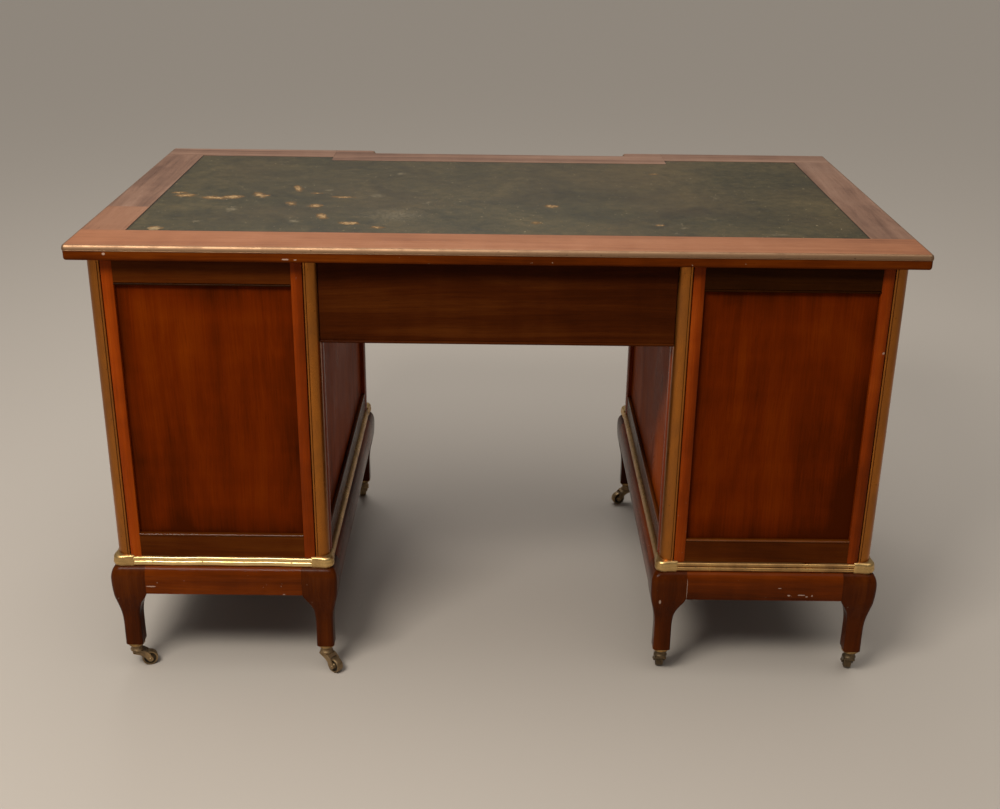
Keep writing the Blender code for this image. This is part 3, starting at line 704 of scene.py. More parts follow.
@cached
def leather():
    """Dark green desk leather, faded, dusty, and scuffed to tan with cream where it has torn."""
    g = Graph("leather")
    point = g.point()
    ragged = g.shake(point, 150.0, 5.0, 0.7, (0.026, 0.026, 0.0))
    torn = g.vector("ADD", point, ragged)
    clouds = g.noise(point, 5.0, 5.0, 0.6, 0.7)
    mottle = g.noise(point, 55.0, 5.0, 0.65, 0.5)
    speckle = g.noise(point, 420.0, 3.0, 0.6)
    tone = g.plus(g.times(clouds, 0.38), g.times(mottle, 0.38))
    tone = g.plus(tone, g.times(speckle, 0.24))
    color = g.ramp(tone, list(zip((0.36, 0.50, 0.64), LEATHER_TONES)))
    broken = g.spread(g.noise(point, 210.0, 4.0, 0.7), 0.30, 0.62, 0.35, 1.35)
    scuff = g.times(scuffed(g, torn, TAN_SCUFFS), broken)
    rub = g.times(scuffed(g, torn, PALE_RUBS), broken)
    tan = g.spread(scuff, 0.16, 0.36)
    layers = (
        (g.spread(g.noise(point, 2.6, 3.0, 0.5, 0.4), 0.45, 0.75), 0.40, (0.096, 0.054, 0.022)),
        (tan, 0.60, (0.20, 0.095, 0.026)),
        (g.spread(scuff, 0.46, 0.66), 0.85, (0.40, 0.25, 0.11)),
        (g.spread(rub, 0.20, 0.62), 0.50, (0.27, 0.21, 0.12)),
        (g.spread(g.noise(point, 170.0, 3.0, 0.55, 0.6), 0.67, 0.72), 0.50, (0.20, 0.11, 0.040)),
        (g.spread(g.noise(point, 230.0, 1.0, 0.5, 0.3), 0.755, 0.775), 1.0, (0.52, 0.40, 0.22)),
        # Painted shade: a dark line along the leather's edges, where the rim shades it.
        (g.spread(g.value_of("edge"), 0.0012, 0.0036, 0.8, 0.0), 1.0, (0.012, 0.009, 0.005)),
    )
    for mask, share, tint in layers:
        color = g.mix(g.times(mask, share), color, tint)
    pebbles = g.cells(g.vector("ADD", point, g.scaled(ragged, (0.05, 0.05, 0.0))), 640.0)
    pebbles = g.spread(pebbles, 0.0, 0.35)
    gloss = g.plus(g.spread(clouds, 0.35, 0.65, 0.42, 0.54), g.times(tan, 0.25))
    normal = g.bump(pebbles, 0.00010, 0.45)
    creases = g.noise(g.scaled(point, (14.0, 24.0, 1.0)), 1.0, 5.0, 0.6, 1.2)
    normal = g.bump(g.math("SUBTRACT", creases, g.times(tan, 0.25)), 0.0009, 0.4, normal)
    return g.surface(Base_Color=color, Roughness=gloss, Normal=normal, Specular_IOR_Level=0.25)


@cached
def shadow():
    """Painted shade: the dark inside a keyhole, a little mottled."""
    g = Graph("keyhole shadow")
    shade_mottle = g.noise(g.point(), 300.0)
    color = g.mix(shade_mottle, (0.004, 0.003, 0.002), (0.012, 0.008, 0.005))
    return g.surface(Base_Color=color, Roughness=0.9, Specular_IOR_Level=0.1)


# ---- Shapes ----


def loft(loops, closed=False):
    """A solid through loops of equal length, capped at both ends or joined end to end."""
    bm = bmesh.new()
    rings = [[bm.verts.new(point) for point in loop] for loop in loops]
    pairs = list(zip(rings, rings[1:]))
    if closed:
        pairs.append((rings[-1], rings[0]))
    else:
        bm.faces.new(rings[0])
        bm.faces.new(rings[-1])
    for ring, following in pairs:
        for i, vert in enumerate(ring):
            j = (i + 1) % len(ring)
            bm.faces.new((vert, ring[j], following[j], following[i]))
    bmesh.ops.remove_doubles(bm, verts=bm.verts, dist=0.000002)
    bmesh.ops.recalc_face_normals(bm, faces=bm.faces)
    return bm


def soften(bm, width, segments=2, least=35.0):
    """Rounds every edge that turns by more than least degrees."""
    limit = math.radians(least)
    edges = [e for e in bm.edges if len(e.link_faces) == 2 and e.calc_face_angle() > limit]
    bmesh.ops.bevel(
        bm, geom=edges, offset=width, segments=segments, profile=0.5, affect="EDGES"
    )
    return bm


def sheet(columns, sink):
    """A solid from columns of points, where None is a hole. sink moves a point to the far side."""
    bm = bmesh.new()
    grid = [[bm.verts.new(point) if point else None for point in column] for column in columns]
    for column, following in zip(grid, grid[1:]):
        for j in range(len(column) - 1):
            around = (column[j], following[j], following[j + 1], column[j + 1])
            if None not in around:
                bm.faces.new(around)
    far = bmesh.ops.extrude_face_region(bm, geom=bm.faces[:])
    for item in far["geom"]:
        if isinstance(item, bmesh.types.BMVert):
            item.co = sink(item.co)
    return bm


def block(low, high, soft=0.0006):
    bm = bmesh.new()
    bmesh.ops.create_cube(bm, size=1.0)
    low = Vector(low)
    high = Vector(high)
    bmesh.ops.scale(bm, vec=high - low, verts=bm.verts)
    bmesh.ops.translate(bm, vec=(low + high) / 2, verts=bm.verts)
    return soften(bm, soft)


def prism(outline, z_low, z_high, soft=0.0004):
    bm = loft([[(x, y, z) for x, y in outline] for z in (z_low, z_high)])
    return soften(bm, soft) if soft else bm


def turned(profile, origin, direction, segments=40, closed=False):
    """A profile of (radius, height) turned about a line through origin."""
    axis = Vector(direction).normalized()
    side = axis.orthogonal().normalized()
    other = axis.cross(side)
    loops = []
    for radius, height in profile:
        middle = Vector(origin) + axis * height
        turns = [2 * math.pi * k / segments for k in range(segments)]
        loops.append([middle + (side * math.cos(t) + other * math.sin(t)) * radius for t in turns])
    return loft(loops, closed)


def rounded(points, radii, segments=4):
    """A closed outline with each corner replaced by an arc, where its radius isn't 0."""
    result = []
    for i, corner in enumerate(points):
        corner = Vector(corner)
        radius = radii[i]
        if radius == 0:
            result.append(tuple(corner))
            continue
        before = (Vector(points[i - 1]) - corner).normalized()
        after = (Vector(points[(i + 1) % len(points)]) - corner).normalized()
        half = before.angle(after) / 2
        centre = corner + (before + after).normalized() * radius / math.sin(half)
        start = corner + before * radius / math.tan(half) - centre
        turn = start.angle_signed(corner + after * radius / math.tan(half) - centre)
        for k in range(segments + 1):
            arm = start.copy()
            arm.rotate(Matrix.Rotation(-turn * k / segments, 2))
            result.append(tuple(centre + arm))
    return result


def arc(centre, radius, start, end, steps):
    """Points on an arc between two angles in degrees."""
    angles = [math.radians(start + (end - start) * k / steps) for k in range(steps + 1)]
    return [(centre[0] + radius * math.cos(a), centre[1] + radius * math.sin(a)) for a in angles]


def rectangle(x_low, x_high, y_low, y_high):
    return [(x_low, y_low), (x_high, y_low), (x_high, y_high), (x_low, y_high)]


BOARD_NUMBERS = itertools.count(1)
DESK = bpy.data.collections.new("writing_desk")
bpy.context.scene.collection.children.link(DESK)


def make(name, parts, body="desk", nodes=()):
    """One piece from (shape, material) parts. Each part is a board with its own number."""
    whole = bmesh.new()
    materials = []
    boards = []
    finishes = []
    for shape, material in parts:
        bmesh.ops.recalc_face_normals(shape, faces=shape.faces)
        part = bpy.data.meshes.new("part")
        shape.to_mesh(part)
        shape.free()
        if material not in materials:
            materials.append(material)
        number = next(BOARD_NUMBERS) * 0.618 % 1.0 * 9.0
        boards += [number] * len(part.vertices)
        finishes += [materials.index(material)] * len(part.polygons)
        whole.from_mesh(part)
        bpy.data.meshes.remove(part)
    mesh = bpy.data.meshes.new(name)
    whole.to_mesh(mesh)
    whole.free()
    mesh.attributes.new("board", "FLOAT", "POINT").data.foreach_set("value", boards)
    for material in materials:
        mesh.materials.append(material)
    mesh.polygons.foreach_set("material_index", finishes)
    mesh.shade_smooth()
    mesh.set_sharp_from_angle(angle=math.radians(40))
    piece = bpy.data.objects.new(name, mesh)
    DESK.objects.link(piece)
    weighted = piece.modifiers.new("even shading", "WEIGHTED_NORMAL")
    weighted.keep_sharp = True
    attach(piece, body)
    if nodes:
        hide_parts(*nodes)
    return piece


def set_values(piece, name, values):
    """Gives each vertex of a piece a value, which its material reads by name."""
    piece.data.attributes.new(name, "FLOAT", "POINT").data.foreach_set("value", values)


def plank(name, shape, finish, axis, body="desk", nodes=()):
    """One piece of the case, from a single board."""
    return make(name, [(shape, wood(finish, axis))], body, nodes)


# ---- The top ----


def stepped(x, back_y, front_y, step_x, step_y):
    """A rectangle from -x to x whose front is stepped in to step_y between -step_x and step_x."""
    points = [(x, back_y), (-x, back_y), (-x, front_y), (-step_x, front_y)]
    return points + [(-step_x, step_y), (step_x, step_y), (step_x, front_y), (x, front_y)]


def top_outline(inset):
    """The top's outline with every side moved in by inset, from the sitter's right back corner."""
    y = HALF_DEPTH - inset
    step_y = STEP_DEPTH + inset - HALF_DEPTH
    points = stepped(HALF_WIDTH - inset, y, -y, STEP_HALF_WIDTH + inset, step_y)
    outer = max(OUTER_CORNER_RADIUS - inset, LEAST_RADIUS)
    step = max(STEP_CORNER_RADIUS - inset, LEAST_RADIUS)
    hollow = OUTER_CORNER_RADIUS + inset
    return rounded(points, [outer, outer, outer, step, hollow, hollow, step, outer], CORNER_STEPS)


def edge_strips(profile):
    """The eight mitred lengths of a profile of (inset, z) run round the top."""
    outlines = [(top_outline(inset), z) for inset, z in profile]
    count = len(outlines[0][0])
    per_corner = CORNER_STEPS + 1
    for side in range(8):
        first = side * per_corner + CORNER_STEPS // 2
        stations = [(first + k) % count for k in range(per_corner + 1)]
        loops = [[(*outline[i], z) for outline, z in outlines] for i in stations]
        yield side, loft(loops)


def make_top_edge():
    """The wooden lipping round the top, and the half-round brass strip over it."""
    low = UNDERSIDE_Z
    edging_z = EDGE_LOW.z
    lip = [(LIPPING_WIDTH, edging_z - GAP), (LIPPING_WIDTH, low)]
    inward, upward = LIPPING_ROUND
    lip += [
        (LIPPING_REVEAL + inward * (1 - math.sin(a)), low + upward * (1 - math.cos(a)))
        for a in (math.radians(10 * k) for k in range(10))
    ]
    lip += [(LIPPING_REVEAL, edging_z - GAP)]
    parts = [(shape, wood("lipping", side % 2)) for side, shape in edge_strips(lip)]
    make("top_edge_moulding", parts, nodes=["top_board"])
    crown = HEIGHT - GAP
    strip = [(EDGING_WIDTH, crown), (EDGING_WIDTH, edging_z), (0.0014, edging_z)]
    strip += [(0.0006, edging_z + 0.0005), (0.0004, edging_z + 0.0012), (0.0010, edging_z + 0.0019)]
    nose_height = crown - edging_z - 0.0022
    strip += [
        (EDGING_NOSE * (1 - math.cos(a)), crown - nose_height * (1 - math.sin(a)))
        for a in (math.radians(9 * k) for k in range(11))
    ]
    parts = [(shape, metal("edging")) for _, shape in edge_strips(strip)]
    make("top_edging", parts, nodes=["top_brass_edge"])


def make_rim():
    """The boards round the leather and the core that they lie on."""
    rim_low = EDGE_LOW.z
    edge = EDGING_WIDTH + GAP
    out_x = HALF_WIDTH - edge
    out_y = HALF_DEPTH - edge
    in_x = LEATHER_HIGH.x + GAP
    back_y = LEATHER_HIGH.y + GAP
    front_y = LEATHER_LOW.y - GAP
    step_y = LEATHER_STEP_Y - GAP
    step_x = LEATHER_STEP_X + GAP
    corner = OUTER_CORNER_RADIUS - edge

    def rim_board(place, outline, axis, finish="top side"):
        shape = prism(outline, rim_low, HEIGHT)
        make(f"rim_board_{place}", [(shape, wood(finish, axis))])

    near = rounded(rectangle(-out_x, out_x, back_y, out_y), [0, 0, corner, corner])
    rim_board("back", near, 0, "top")
    for side_name, side in SIDES.items():
        x_low, x_high = sorted((side * in_x, side * out_x))
        joints = [front_y, RIM_JOINT_Y, back_y] if side > 0 else [front_y, back_y]
        for place, (y_low, y_high) in zip(("", "_rear"), zip(joints, joints[1:])):
            outline = rectangle(x_low, x_high, y_low + SEAM, y_high - SEAM)
            rim_board(f"{side_name}{place}", outline, 1, "top corner" if place else "top side")
        x_low, x_high = sorted((side * (step_x + SEAM), side * out_x))
        radii = [corner, 0, 0, 0] if side < 0 else [0, corner, 0, 0]
        bay = rounded(rectangle(x_low, x_high, -out_y, front_y - SEAM), radii)
        rim_board(f"front_{side_name}", bay, 0)
    notch_x = STEP_HALF_WIDTH + edge
    notch_y = STEP_DEPTH + edge - HALF_DEPTH
    points = stepped(-step_x, step_y, -out_y, -notch_x, notch_y)
    step = STEP_CORNER_RADIUS - edge
    hollow = OUTER_CORNER_RADIUS + edge
    rim_board("front_step", rounded(points, [0, 0, 0, step, hollow, hollow, step, 0]), 0)
    core = prism(top_outline(LIPPING_WIDTH + GAP), UNDERSIDE_Z, rim_low - GAP, 0)
    bed = prism(leather_outline(2 * GAP), rim_low, LEATHER_LOW.z - GAP)
    make("top_core", [(core, wood("rail", 0)), (bed, wood("oak", 0))])


def leather_outline(inset):
    """The leather's outline with every side moved in by inset."""
    return stepped(
        LEATHER_HIGH.x - inset,
        LEATHER_HIGH.y - inset,
        LEATHER_LOW.y + inset,
        LEATHER_STEP_X + inset,
        LEATHER_STEP_Y + inset,
    )


def stations(marks, cell):
    """Places from the first mark to the last, through every mark, no further apart than cell."""
    result = [marks[0]]
    for low, high in zip(marks, marks[1:]):
        count = math.ceil((high - low) / cell)
        result += [low + (high - low) * k / count for k in range(1, count + 1)]
    return result


def make_leather():
    """A skin that follows the slight waves of its bed and is pressed down along its edges."""
    x = LEATHER_HIGH.x
    margin = PRESS_WIDTH
    xs = stations([-x, -x + margin, -LEATHER_STEP_X, LEATHER_STEP_X, x - margin, x], LEATHER_CELL)

    def from_edge(px, py):
        nearest = min(x - abs(px), LEATHER_HIGH.y - py, py - LEATHER_LOW.y)
        if abs(px) < LEATHER_STEP_X:
            nearest = min(nearest, py - LEATHER_STEP_Y)
        return max(0, nearest)

    y_marks = [LEATHER_LOW.y, LEATHER_LOW.y + margin, LEATHER_STEP_Y, LEATHER_STEP_Y + margin]
    ys = stations(y_marks + [LEATHER_HIGH.y - margin, LEATHER_HIGH.y], LEATHER_CELL)

    def surface_point(px, py):
        if py < LEATHER_STEP_Y - ROUNDING and abs(px) < LEATHER_STEP_X - ROUNDING:
            return None
        wave = noise.noise(Vector((px * 9, py * 14, 0.3))) * LEATHER_WAVE
        press = PRESS_DEPTH * (1 - min(1, from_edge(px, py) / margin)) ** 2
        return px, py, LEATHER_HIGH.z - LEATHER_WAVE + wave - press

    columns = [[surface_point(px, py) for py in ys] for px in xs]
    bm = sheet(columns, lambda point: (point.x, point.y, LEATHER_LOW.z))
    skin = make("writing_leather", [(bm, leather())], nodes=["top_leather"])
    set_values(skin, "edge", [from_edge(vert.co.x, vert.co.y) for vert in skin.data.vertices])


# ---- The pedestals ----


class Face:
    """A vertical face of a pedestal. along runs on X or Y, and out points away from the case."""

    def __init__(self, axis, plane, way, middle, half):
        self.axis = axis
        self.plane = plane
        self.way = way
        self.middle = middle
        self.half = half

    def point(self, along, out, z):
        across = self.plane + self.way * out
        along += self.middle
        return (along, across, z) if self.axis == 0 else (across, along, z)

    def bar(self, outline, start, end):
        """An outline of (out, z), run along the face."""
        return loft([[self.point(a, out, z) for out, z in outline] for a in (start, end)])

    def post(self, outline, low, high):
        """An outline of (along, out), run up the face."""
        return loft([[self.point(a, out, z) for a, out in outline] for z in (low, high)])


def faces_of(side):
    """The four faces of a pedestal, by name."""
    middle = side * PEDESTAL_X
    return {
        "back": Face(0, PEDESTAL_Y, 1, middle, PEDESTAL_HALF),
        "front": Face(0, -PEDESTAL_Y, -1, middle, PEDESTAL_HALF),
        "outer": Face(1, side * OUTER_X, side, 0.0, PEDESTAL_Y),
        "inner": Face(1, side * INNER_X, -side, 0.0, PEDESTAL_Y),
    }


def corners():
    """Each pedestal corner's name, and a function that places a point there.

    The function takes points for a corner at the origin that faces (+X, +Y).
    """

    def placer(x, y, way_x, way_y):
        return lambda px, py, z: (x + way_x * px, y + way_y * py, z)

    for side_name, side in SIDES.items():
        for end_name, end in ENDS.items():
            for edge_name, edge in EDGES.items():
                x = side * (OUTER_X if edge > 0 else INNER_X)
                place = placer(x, end * PEDESTAL_Y, side * edge, end)
                yield f"{side_name}_{end_name}_{edge_name}", place


def make_stiles(prefix, face, width):
    """Two uprights with a convex front, next to the columns."""
    outer = face.half - COLUMN_RADIUS - GAP - COLUMN_GAP
    inner = outer + COLUMN_GAP - width
    middle = (outer + inner) / 2
    half = (outer - inner) / 2
    radius = (half**2 + STILE_RISE**2) / (2 * STILE_RISE)
    spread = math.degrees(math.asin(half / radius))
    for end, way in (("low", -1), ("high", 1)):
        front = arc((way * middle, STILE_CROWN - radius), radius, 90 - spread, 90 + spread, 8)
        back = -FRAME_THICKNESS
        outline = [(way * middle - half, back), (way * middle + half, back)] + front
        shape = soften(face.post(outline, CASE_FOOT_Z, CASE_HIGH.z), 0.0005)
        name = f"{prefix}_stile_{end}"
        plank(name, shape, LIT_AND_SHADED_BOARDS.get(name, "stile"), 2)
    return inner


def rail_outlines(z_edge, z_far):
    """A rail's section, and the section of the bead along its edge at the panel."""
    way = 1 if z_edge > z_far else -1
    back = -FRAME_THICKNESS
    face = -RAIL_SET_BACK
    radius = BEAD_RADIUS
    bead_z = z_edge - way * radius
    quirk_z = bead_z - way * (radius + 0.0003)
    rail = [(back, z_far), (face, z_far), (face, quirk_z - way * 0.0006), (face - 0.0010, quirk_z)]
    rail += [(face - 0.0040, quirk_z), (face - 0.0040, z_edge), (back, z_edge)]
    bead = arc((face - 0.0008, bead_z), radius, -80 * way, 100 * way, 10)
    bead += [(face - 0.0038, z_edge), (face - 0.0038, bead_z - way * radius)]
    return rail, bead


def make_panel(name, face, reach, finish, nodes):
    """A flat panel, painted darker round its edges: painted shade from its frame."""
    shade_steps = PANEL_SHADE_STEPS
    half = (PANEL_TOP_Z - PANEL_BOTTOM_Z) / 2
    middle_z = (PANEL_TOP_Z + PANEL_BOTTOM_Z) / 2
    places = [-reach + b for b in shade_steps] + [reach - b for b in reversed(shade_steps)]
    levels = [-half + b for b in shade_steps] + [half - b for b in reversed(shade_steps)]
    columns = [[face.point(a, -PANEL_RECESS, middle_z + z) for z in levels] for a in places]
    behind = Vector(face.point(0, -PANEL_THICKNESS, 0)) - Vector(face.point(0, 0, 0))
    bm = sheet(columns, lambda point: point + behind)
    panel = plank(name, bm, finish, 2, nodes=nodes)
    # Painted shade: 1 at the panel's edges, fading to 0 at the last step in.
    shades = []
    for vert in panel.data.vertices:
        across = vert.co.x if face.axis == 0 else vert.co.y
        inward = min(reach - abs(across - face.middle), half - abs(vert.co.z - middle_z))
        shades.append(max(0.0, 1.0 - inward / shade_steps[-1]) ** 1.6)
    set_values(panel, "painted_shade", shades)


def make_framed_face(prefix, face, stile_width):
    """Stiles, rails and a recessed panel."""
    opening = make_stiles(prefix, face, stile_width)
    reach = opening - SEAM
    for name, z_edge, z_far in (
        ("bottom", PANEL_BOTTOM_Z, CASE_FOOT_Z),
        ("top", PANEL_TOP_Z, CASE_HIGH.z),
    ):
        rail, bead = (face.bar(o, -reach, reach) for o in rail_outlines(z_edge, z_far))
        board = f"{prefix}_rail_{name}"
        finish = LIT_AND_SHADED_BOARDS.get(board, "rail")
        # The top beads take the rail's darker copy, which is painted shade.
        bead_finish = "bead" if name == "bottom" else "shaded rail"
        parts = [(rail, wood(finish, face.axis)), (bead, wood(bead_finish, face.axis))]
        make(board, parts)
    # The faces towards the kneehole take a brighter finish, a painted reflection of the floor.
    finish = "inner panel" if prefix.endswith("inner") else "panel"
    nodes = [f"{prefix}_panel"] if prefix.endswith("back") else []
    make_panel(f"{prefix}_panel_board", face, reach, finish, nodes)


def bays(side_name):
    """Each bay's floor and head, read from its drawer's front."""
    for bay in BAYS:
        low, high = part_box(f"{side_name}_{bay}_drawer_front")
        yield low.z - DRAWER_REVEAL, high.z + DRAWER_REVEAL


def make_inside(side_name, side, front):
    """The front stiles, drawer rails, dust boards, guides and base of a pedestal."""
    opening = make_stiles(f"{side_name}_front", front, STILE_WIDTH)
    reach = opening - SEAM
    levels = list(bays(side_name))
    lows = [CASE_FOOT_Z] + [head for _, head in levels]
    highs = [floor for floor, _ in levels] + [CASE_HIGH.z]
    for number, (low, high) in enumerate(zip(lows, highs)):
        outline = rectangle(-DRAWER_RAIL_DEPTH, -RAIL_SET_BACK, low, high)
        shape = soften(front.bar(outline, -reach, reach), 0.0009)
        plank(f"{side_name}_drawer_rail_{number + 1}", shape, "rail", 0)
    middle = side * PEDESTAL_X
    inside = PEDESTAL_HALF - FRAME_THICKNESS - BOARD_GAP
    back_y = PEDESTAL_Y - FRAME_THICKNESS - BOARD_GAP
    front_y = DRAWER_RAIL_DEPTH + GAP - PEDESTAL_Y
    parts = []
    for floor, _ in levels:
        low = (middle - inside, front_y, floor - DUST_BOARD_THICKNESS)
        parts.append((block(low, (middle + inside, back_y, floor)), wood("oak", 0)))
        for way in (-1, 1):
            x_low, x_high = sorted((middle + way * (opening + BOARD_GAP), middle + way * inside))
            low = (x_low, front_y, floor + GAP)
            guide = block(low, (x_high, back_y, floor + GUIDE_HEIGHT))
            parts.append((guide, wood("oak", 1)))
    make(f"{side_name}_dust_boards", parts)
    half = PEDESTAL_HALF - BASE_REBATE
    base_y = PEDESTAL_Y - BASE_REBATE
    base = block((middle - half, -base_y, CASE_LOW.z), (middle + half, base_y, CASE_FOOT_Z - GAP))
    plank(f"{side_name}_base", base, "rail", 0, nodes=[f"{side_name}_case"])


def make_pedestal(side_name, side):
    faces = faces_of(side)
    make_framed_face(f"{side_name}_back", faces["back"], STILE_WIDTH)
    for name in ("outer", "inner"):
        make_framed_face(f"{side_name}_{name}", faces[name], SIDE_STILE_WIDTH)
    make_inside(side_name, side, faces["front"])


def column_outline():
    """A round shaft with a thin bead at each side."""
    bead = COLUMN_BEAD
    edge = -COLUMN_RADIUS
    half = [(edge, -0.0050)] + arc((edge + bead, -bead - 0.0004), bead, 180, 0, 10)
    half += [(edge + 2 * bead + 0.0001, -0.0013), (edge + 2 * bead + 0.0007, -0.0011)]
    half += arc((-COLUMN_SHAFT, -COLUMN_SHAFT), COLUMN_SHAFT, 93, 45, 16)
    return [(edge, edge)] + half + [(y, x) for x, y in reversed(half[:-1])]


def make_columns():
    outline = column_outline()
    for name, place in corners():
        levels = (COLUMN_LOW.z, COLUMN_HIGH.z)
        shape = loft([[place(px, py, z) for px, py in outline] for z in levels])
        make(f"brass_column_{name}", [(shape, metal("column"))], nodes=[f"column_{name}"])


# ---- The plinths ----


def smoothed(points, steps):
    """A smooth curve through points, with steps between neighbours."""
    points = [Vector(point) for point in points]
    result = []
    for i, (start, end) in enumerate(zip(points, points[1:])):
        before = points[i - 1] if i else start
        after = points[i + 2] if i + 2 < len(points) else end
        leave = (end - before) / 2
        arrive = (after - start) / 2
        for k in range(steps):
            t = k / steps
            result.append(
                start * (2 * t**3 - 3 * t**2 + 1)
                + leave * (t**3 - 2 * t**2 + t)
                + end * (3 * t**2 - 2 * t**3)
                + arrive * (t**3 - t**2)
            )
    return result + [points[-1]]


def leg_loops(place):
    """A leg's rounded squares, whose edges at the rails grow sharp at the corner block."""
    for z, out, inward in smoothed(LEG_STATIONS, LEG_SMOOTHING):
        rise = min(1, max(0, (z - ANKLE_Z) / (PLINTH_BOTTOM_Z - ANKLE_Z)))
        corner = LEG_RADIUS + (KNEE_RADIUS - LEG_RADIUS) * rise
        side = LEG_RADIUS * 0.7 * (1 - rise) + 0.0003
        square = [(-inward, -inward), (out, -inward), (out, out), (-inward, out)]
        outline = rounded(square, [0.002, side, corner, side], LEG_STEPS)
        yield [place(px, py, z) for px, py in outline]


def make_legs():
    for name, place in corners():
        shape = loft(list(leg_loops(place)))
        make(f"leg_{name}", [(shape, wood("leg", 2))])


def make_plinth(side_name, side):
    """Four rails between the legs' corner blocks, with the blocks' rounded section."""
    stations_up = smoothed(LEG_STATIONS, LEG_SMOOTHING)
    knee = [(out - 0.0001, z) for z, out, _ in stations_up if z > PLINTH_BOTTOM_Z + 0.0015]
    outline = [(-PLINTH_RAIL_INSET, PLINTH_BOTTOM_Z), (knee[0][0] - 0.0020, PLINTH_BOTTOM_Z)]
    outline += [(knee[0][0] - 0.0006, PLINTH_BOTTOM_Z + 0.0005)] + knee
    outline += [(-PLINTH_RAIL_INSET, PLINTH_HIGH.z)]
    for name, face_of in faces_of(side).items():
        reach = face_of.half - BLOCK_REACH - PLINTH_SEAM
        parts = [(face_of.bar(outline, -reach, reach), wood("plinth", face_of.axis))]
        nodes = [f"{side_name}_plinth"] if name == "back" else []
        make(f"{side_name}_plinth_rail_{name}", parts, nodes=nodes)


def bead_outline(waist):
    """Two beads, one over the other, as (out, z). waist is the groove's share of their reach."""
    low = MOULDING_LOW.z
    split = low + (MOULDING_HIGH.z - low) * 0.53
    outline = [(GAP - BASE_REBATE, low)]
    for foot, head in ((low, split), (split, MOULDING_HIGH.z)):
        middle = (foot + head) / 2
        half = (head - foot) / 2
        for k in range(9):
            a = math.radians(-80 + 20 * k)
            crest = MOULDING_REACH * (waist + (1 - waist) * math.cos(a))
            outline.append((crest, middle + half * math.sin(a) * 0.985))
    return outline + [(GAP - BASE_REBATE, MOULDING_HIGH.z)]


def make_moulding(side_name, side):
    """Brass beads round a pedestal's foot, in four pinned lengths with cast elbows between."""
    for name, face in faces_of(side).items():
        loose = (side_name, name) == LOOSE_STRIP
        # The loose strip takes the paler brass, which is painted light.
        finish = metal("lit moulding" if loose else "moulding")
        reach = face.half - ELBOW_RADIUS - ELBOW_LEG + 0.004
        outline = bead_outline(LOOSE_WAIST if loose else MOULDING_WAIST)
        loops = []
        for k in range(MOULDING_STEPS + 1):
            along = reach * (2 * k / MOULDING_STEPS - 1)
            bow = 0.0008 * math.cos(along / reach * math.pi / 2) + 0.0003 * math.sin(along * 60.0)
            lift = bow if loose else 0.0
            loops.append([face.point(along, out, z + lift * (out > 0)) for out, z in outline])
        parts = [(loft(loops), finish)]
        pins = max(2, round(2 * reach / PIN_SPACING))
        for k in range(pins):
            along = reach * (2 * (k + 0.5) / pins - 1) + 0.004 * math.sin(k * 2.4)
            low = face.point(along, 0.0030, MOULDING_LOW.z + 0.0085)
            way = Vector(face.point(along, 1.0, 0)) - Vector(face.point(along, 0.0, 0))
            parts.append((turned(PIN_PROFILE, low, way, 12), metal("caster")))
        nodes = [f"{side_name}_plinth_moulding"] if name == "back" else []
        make(f"{side_name}_moulding_{name}", parts, nodes=nodes)


def elbow_path():
    """Places along an elbow, each a point and the way outward."""
    centre = -ELBOW_RADIUS
    straight = [ELBOW_LEG * (1 - k / 6) for k in range(6)]
    path = [((0.0, centre - s), (1.0, 0.0)) for s in straight]
    for k in range(13):
        a = math.radians(90 * k / 12)
        way = (math.cos(a), math.sin(a))
        path.append(((centre + ELBOW_RADIUS * way[0], centre + ELBOW_RADIUS * way[1]), way))
    path += [((centre - s, 0.0), (0.0, 1.0)) for s in reversed(straight)]
    return path


def elbow_outline(out):
    """A plump cast section, a little taller than the strips, as (out, z)."""
    low = MOULDING_LOW.z - 0.0022
    high = MOULDING_HIGH.z + 0.0026
    middle = (low + high) / 2
    half = (high - low) / 2
    outline = [(GAP - BASE_REBATE, low)]
    for k in range(19):
        a = math.radians(-90 + 10 * k)
        dent = 0.10 * math.exp(-(((k - 10.5) / 1.3) ** 2))
        crest = out * (max(0.0, math.cos(a)) ** 0.6 - dent)
        outline.append((crest, middle + half * math.sin(a)))
    return outline + [(GAP - BASE_REBATE, high)]


def make_elbows():
    """Cast elbows, swollen at the corner and with a raised collar at each end."""
    path = elbow_path()
    last = len(path) - 1
    for name, place in corners():
        loops = []
        for i, ((px, py), (nx, ny)) in enumerate(path):
            from_end = min(i, last - i)
            collar = 0.9 * math.exp(-(((from_end - 1.2) / 0.7) ** 2))
            swell = 1.0 - math.cos(2 * math.pi * i / last)
            crest = ELBOW_REACH + ELBOW_COLLAR * collar + ELBOW_SWELL * swell
            outline = elbow_outline(crest if from_end else ELBOW_END_REACH)
            loops.append([place(px + nx * out, py + ny * out, z) for out, z in outline])
        make(f"moulding_elbow_{name}", [(loft(loops), metal("elbow"))])


# ---- The space over the kneehole ----


def make_kneehole():
    """The frieze with a bead along its foot, the dust board and the head rail."""
    x = FRIEZE_HIGH.x
    low_z = FRIEZE_LOW.z
    face_y = FRIEZE_HIGH.y
    bead = arc((face_y - 0.0006, low_z + 0.0022), 0.0022, -90, 70, 9)
    outline = [(FRIEZE_LOW.y, low_z)] + bead
    outline += [(face_y - 0.0008, low_z + 0.0050), (face_y, low_z + 0.0056)]
    outline += [(face_y, FRIEZE_HIGH.z), (FRIEZE_LOW.y, FRIEZE_HIGH.z)]
    board = loft([[(px, py, pz) for py, pz in outline] for px in (-x, x)])
    plank("frieze_board", board, "frieze", 0, nodes=["frieze_panel"])
    for name, node in (
        ("kneehole_board", "kneehole_dust_board"),
        ("kneehole_head_rail", "kneehole_top_rail"),
    ):
        plank(name, block(*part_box(node), 0.0008), "rail", 0, nodes=[node])


# ---- Drawers ----


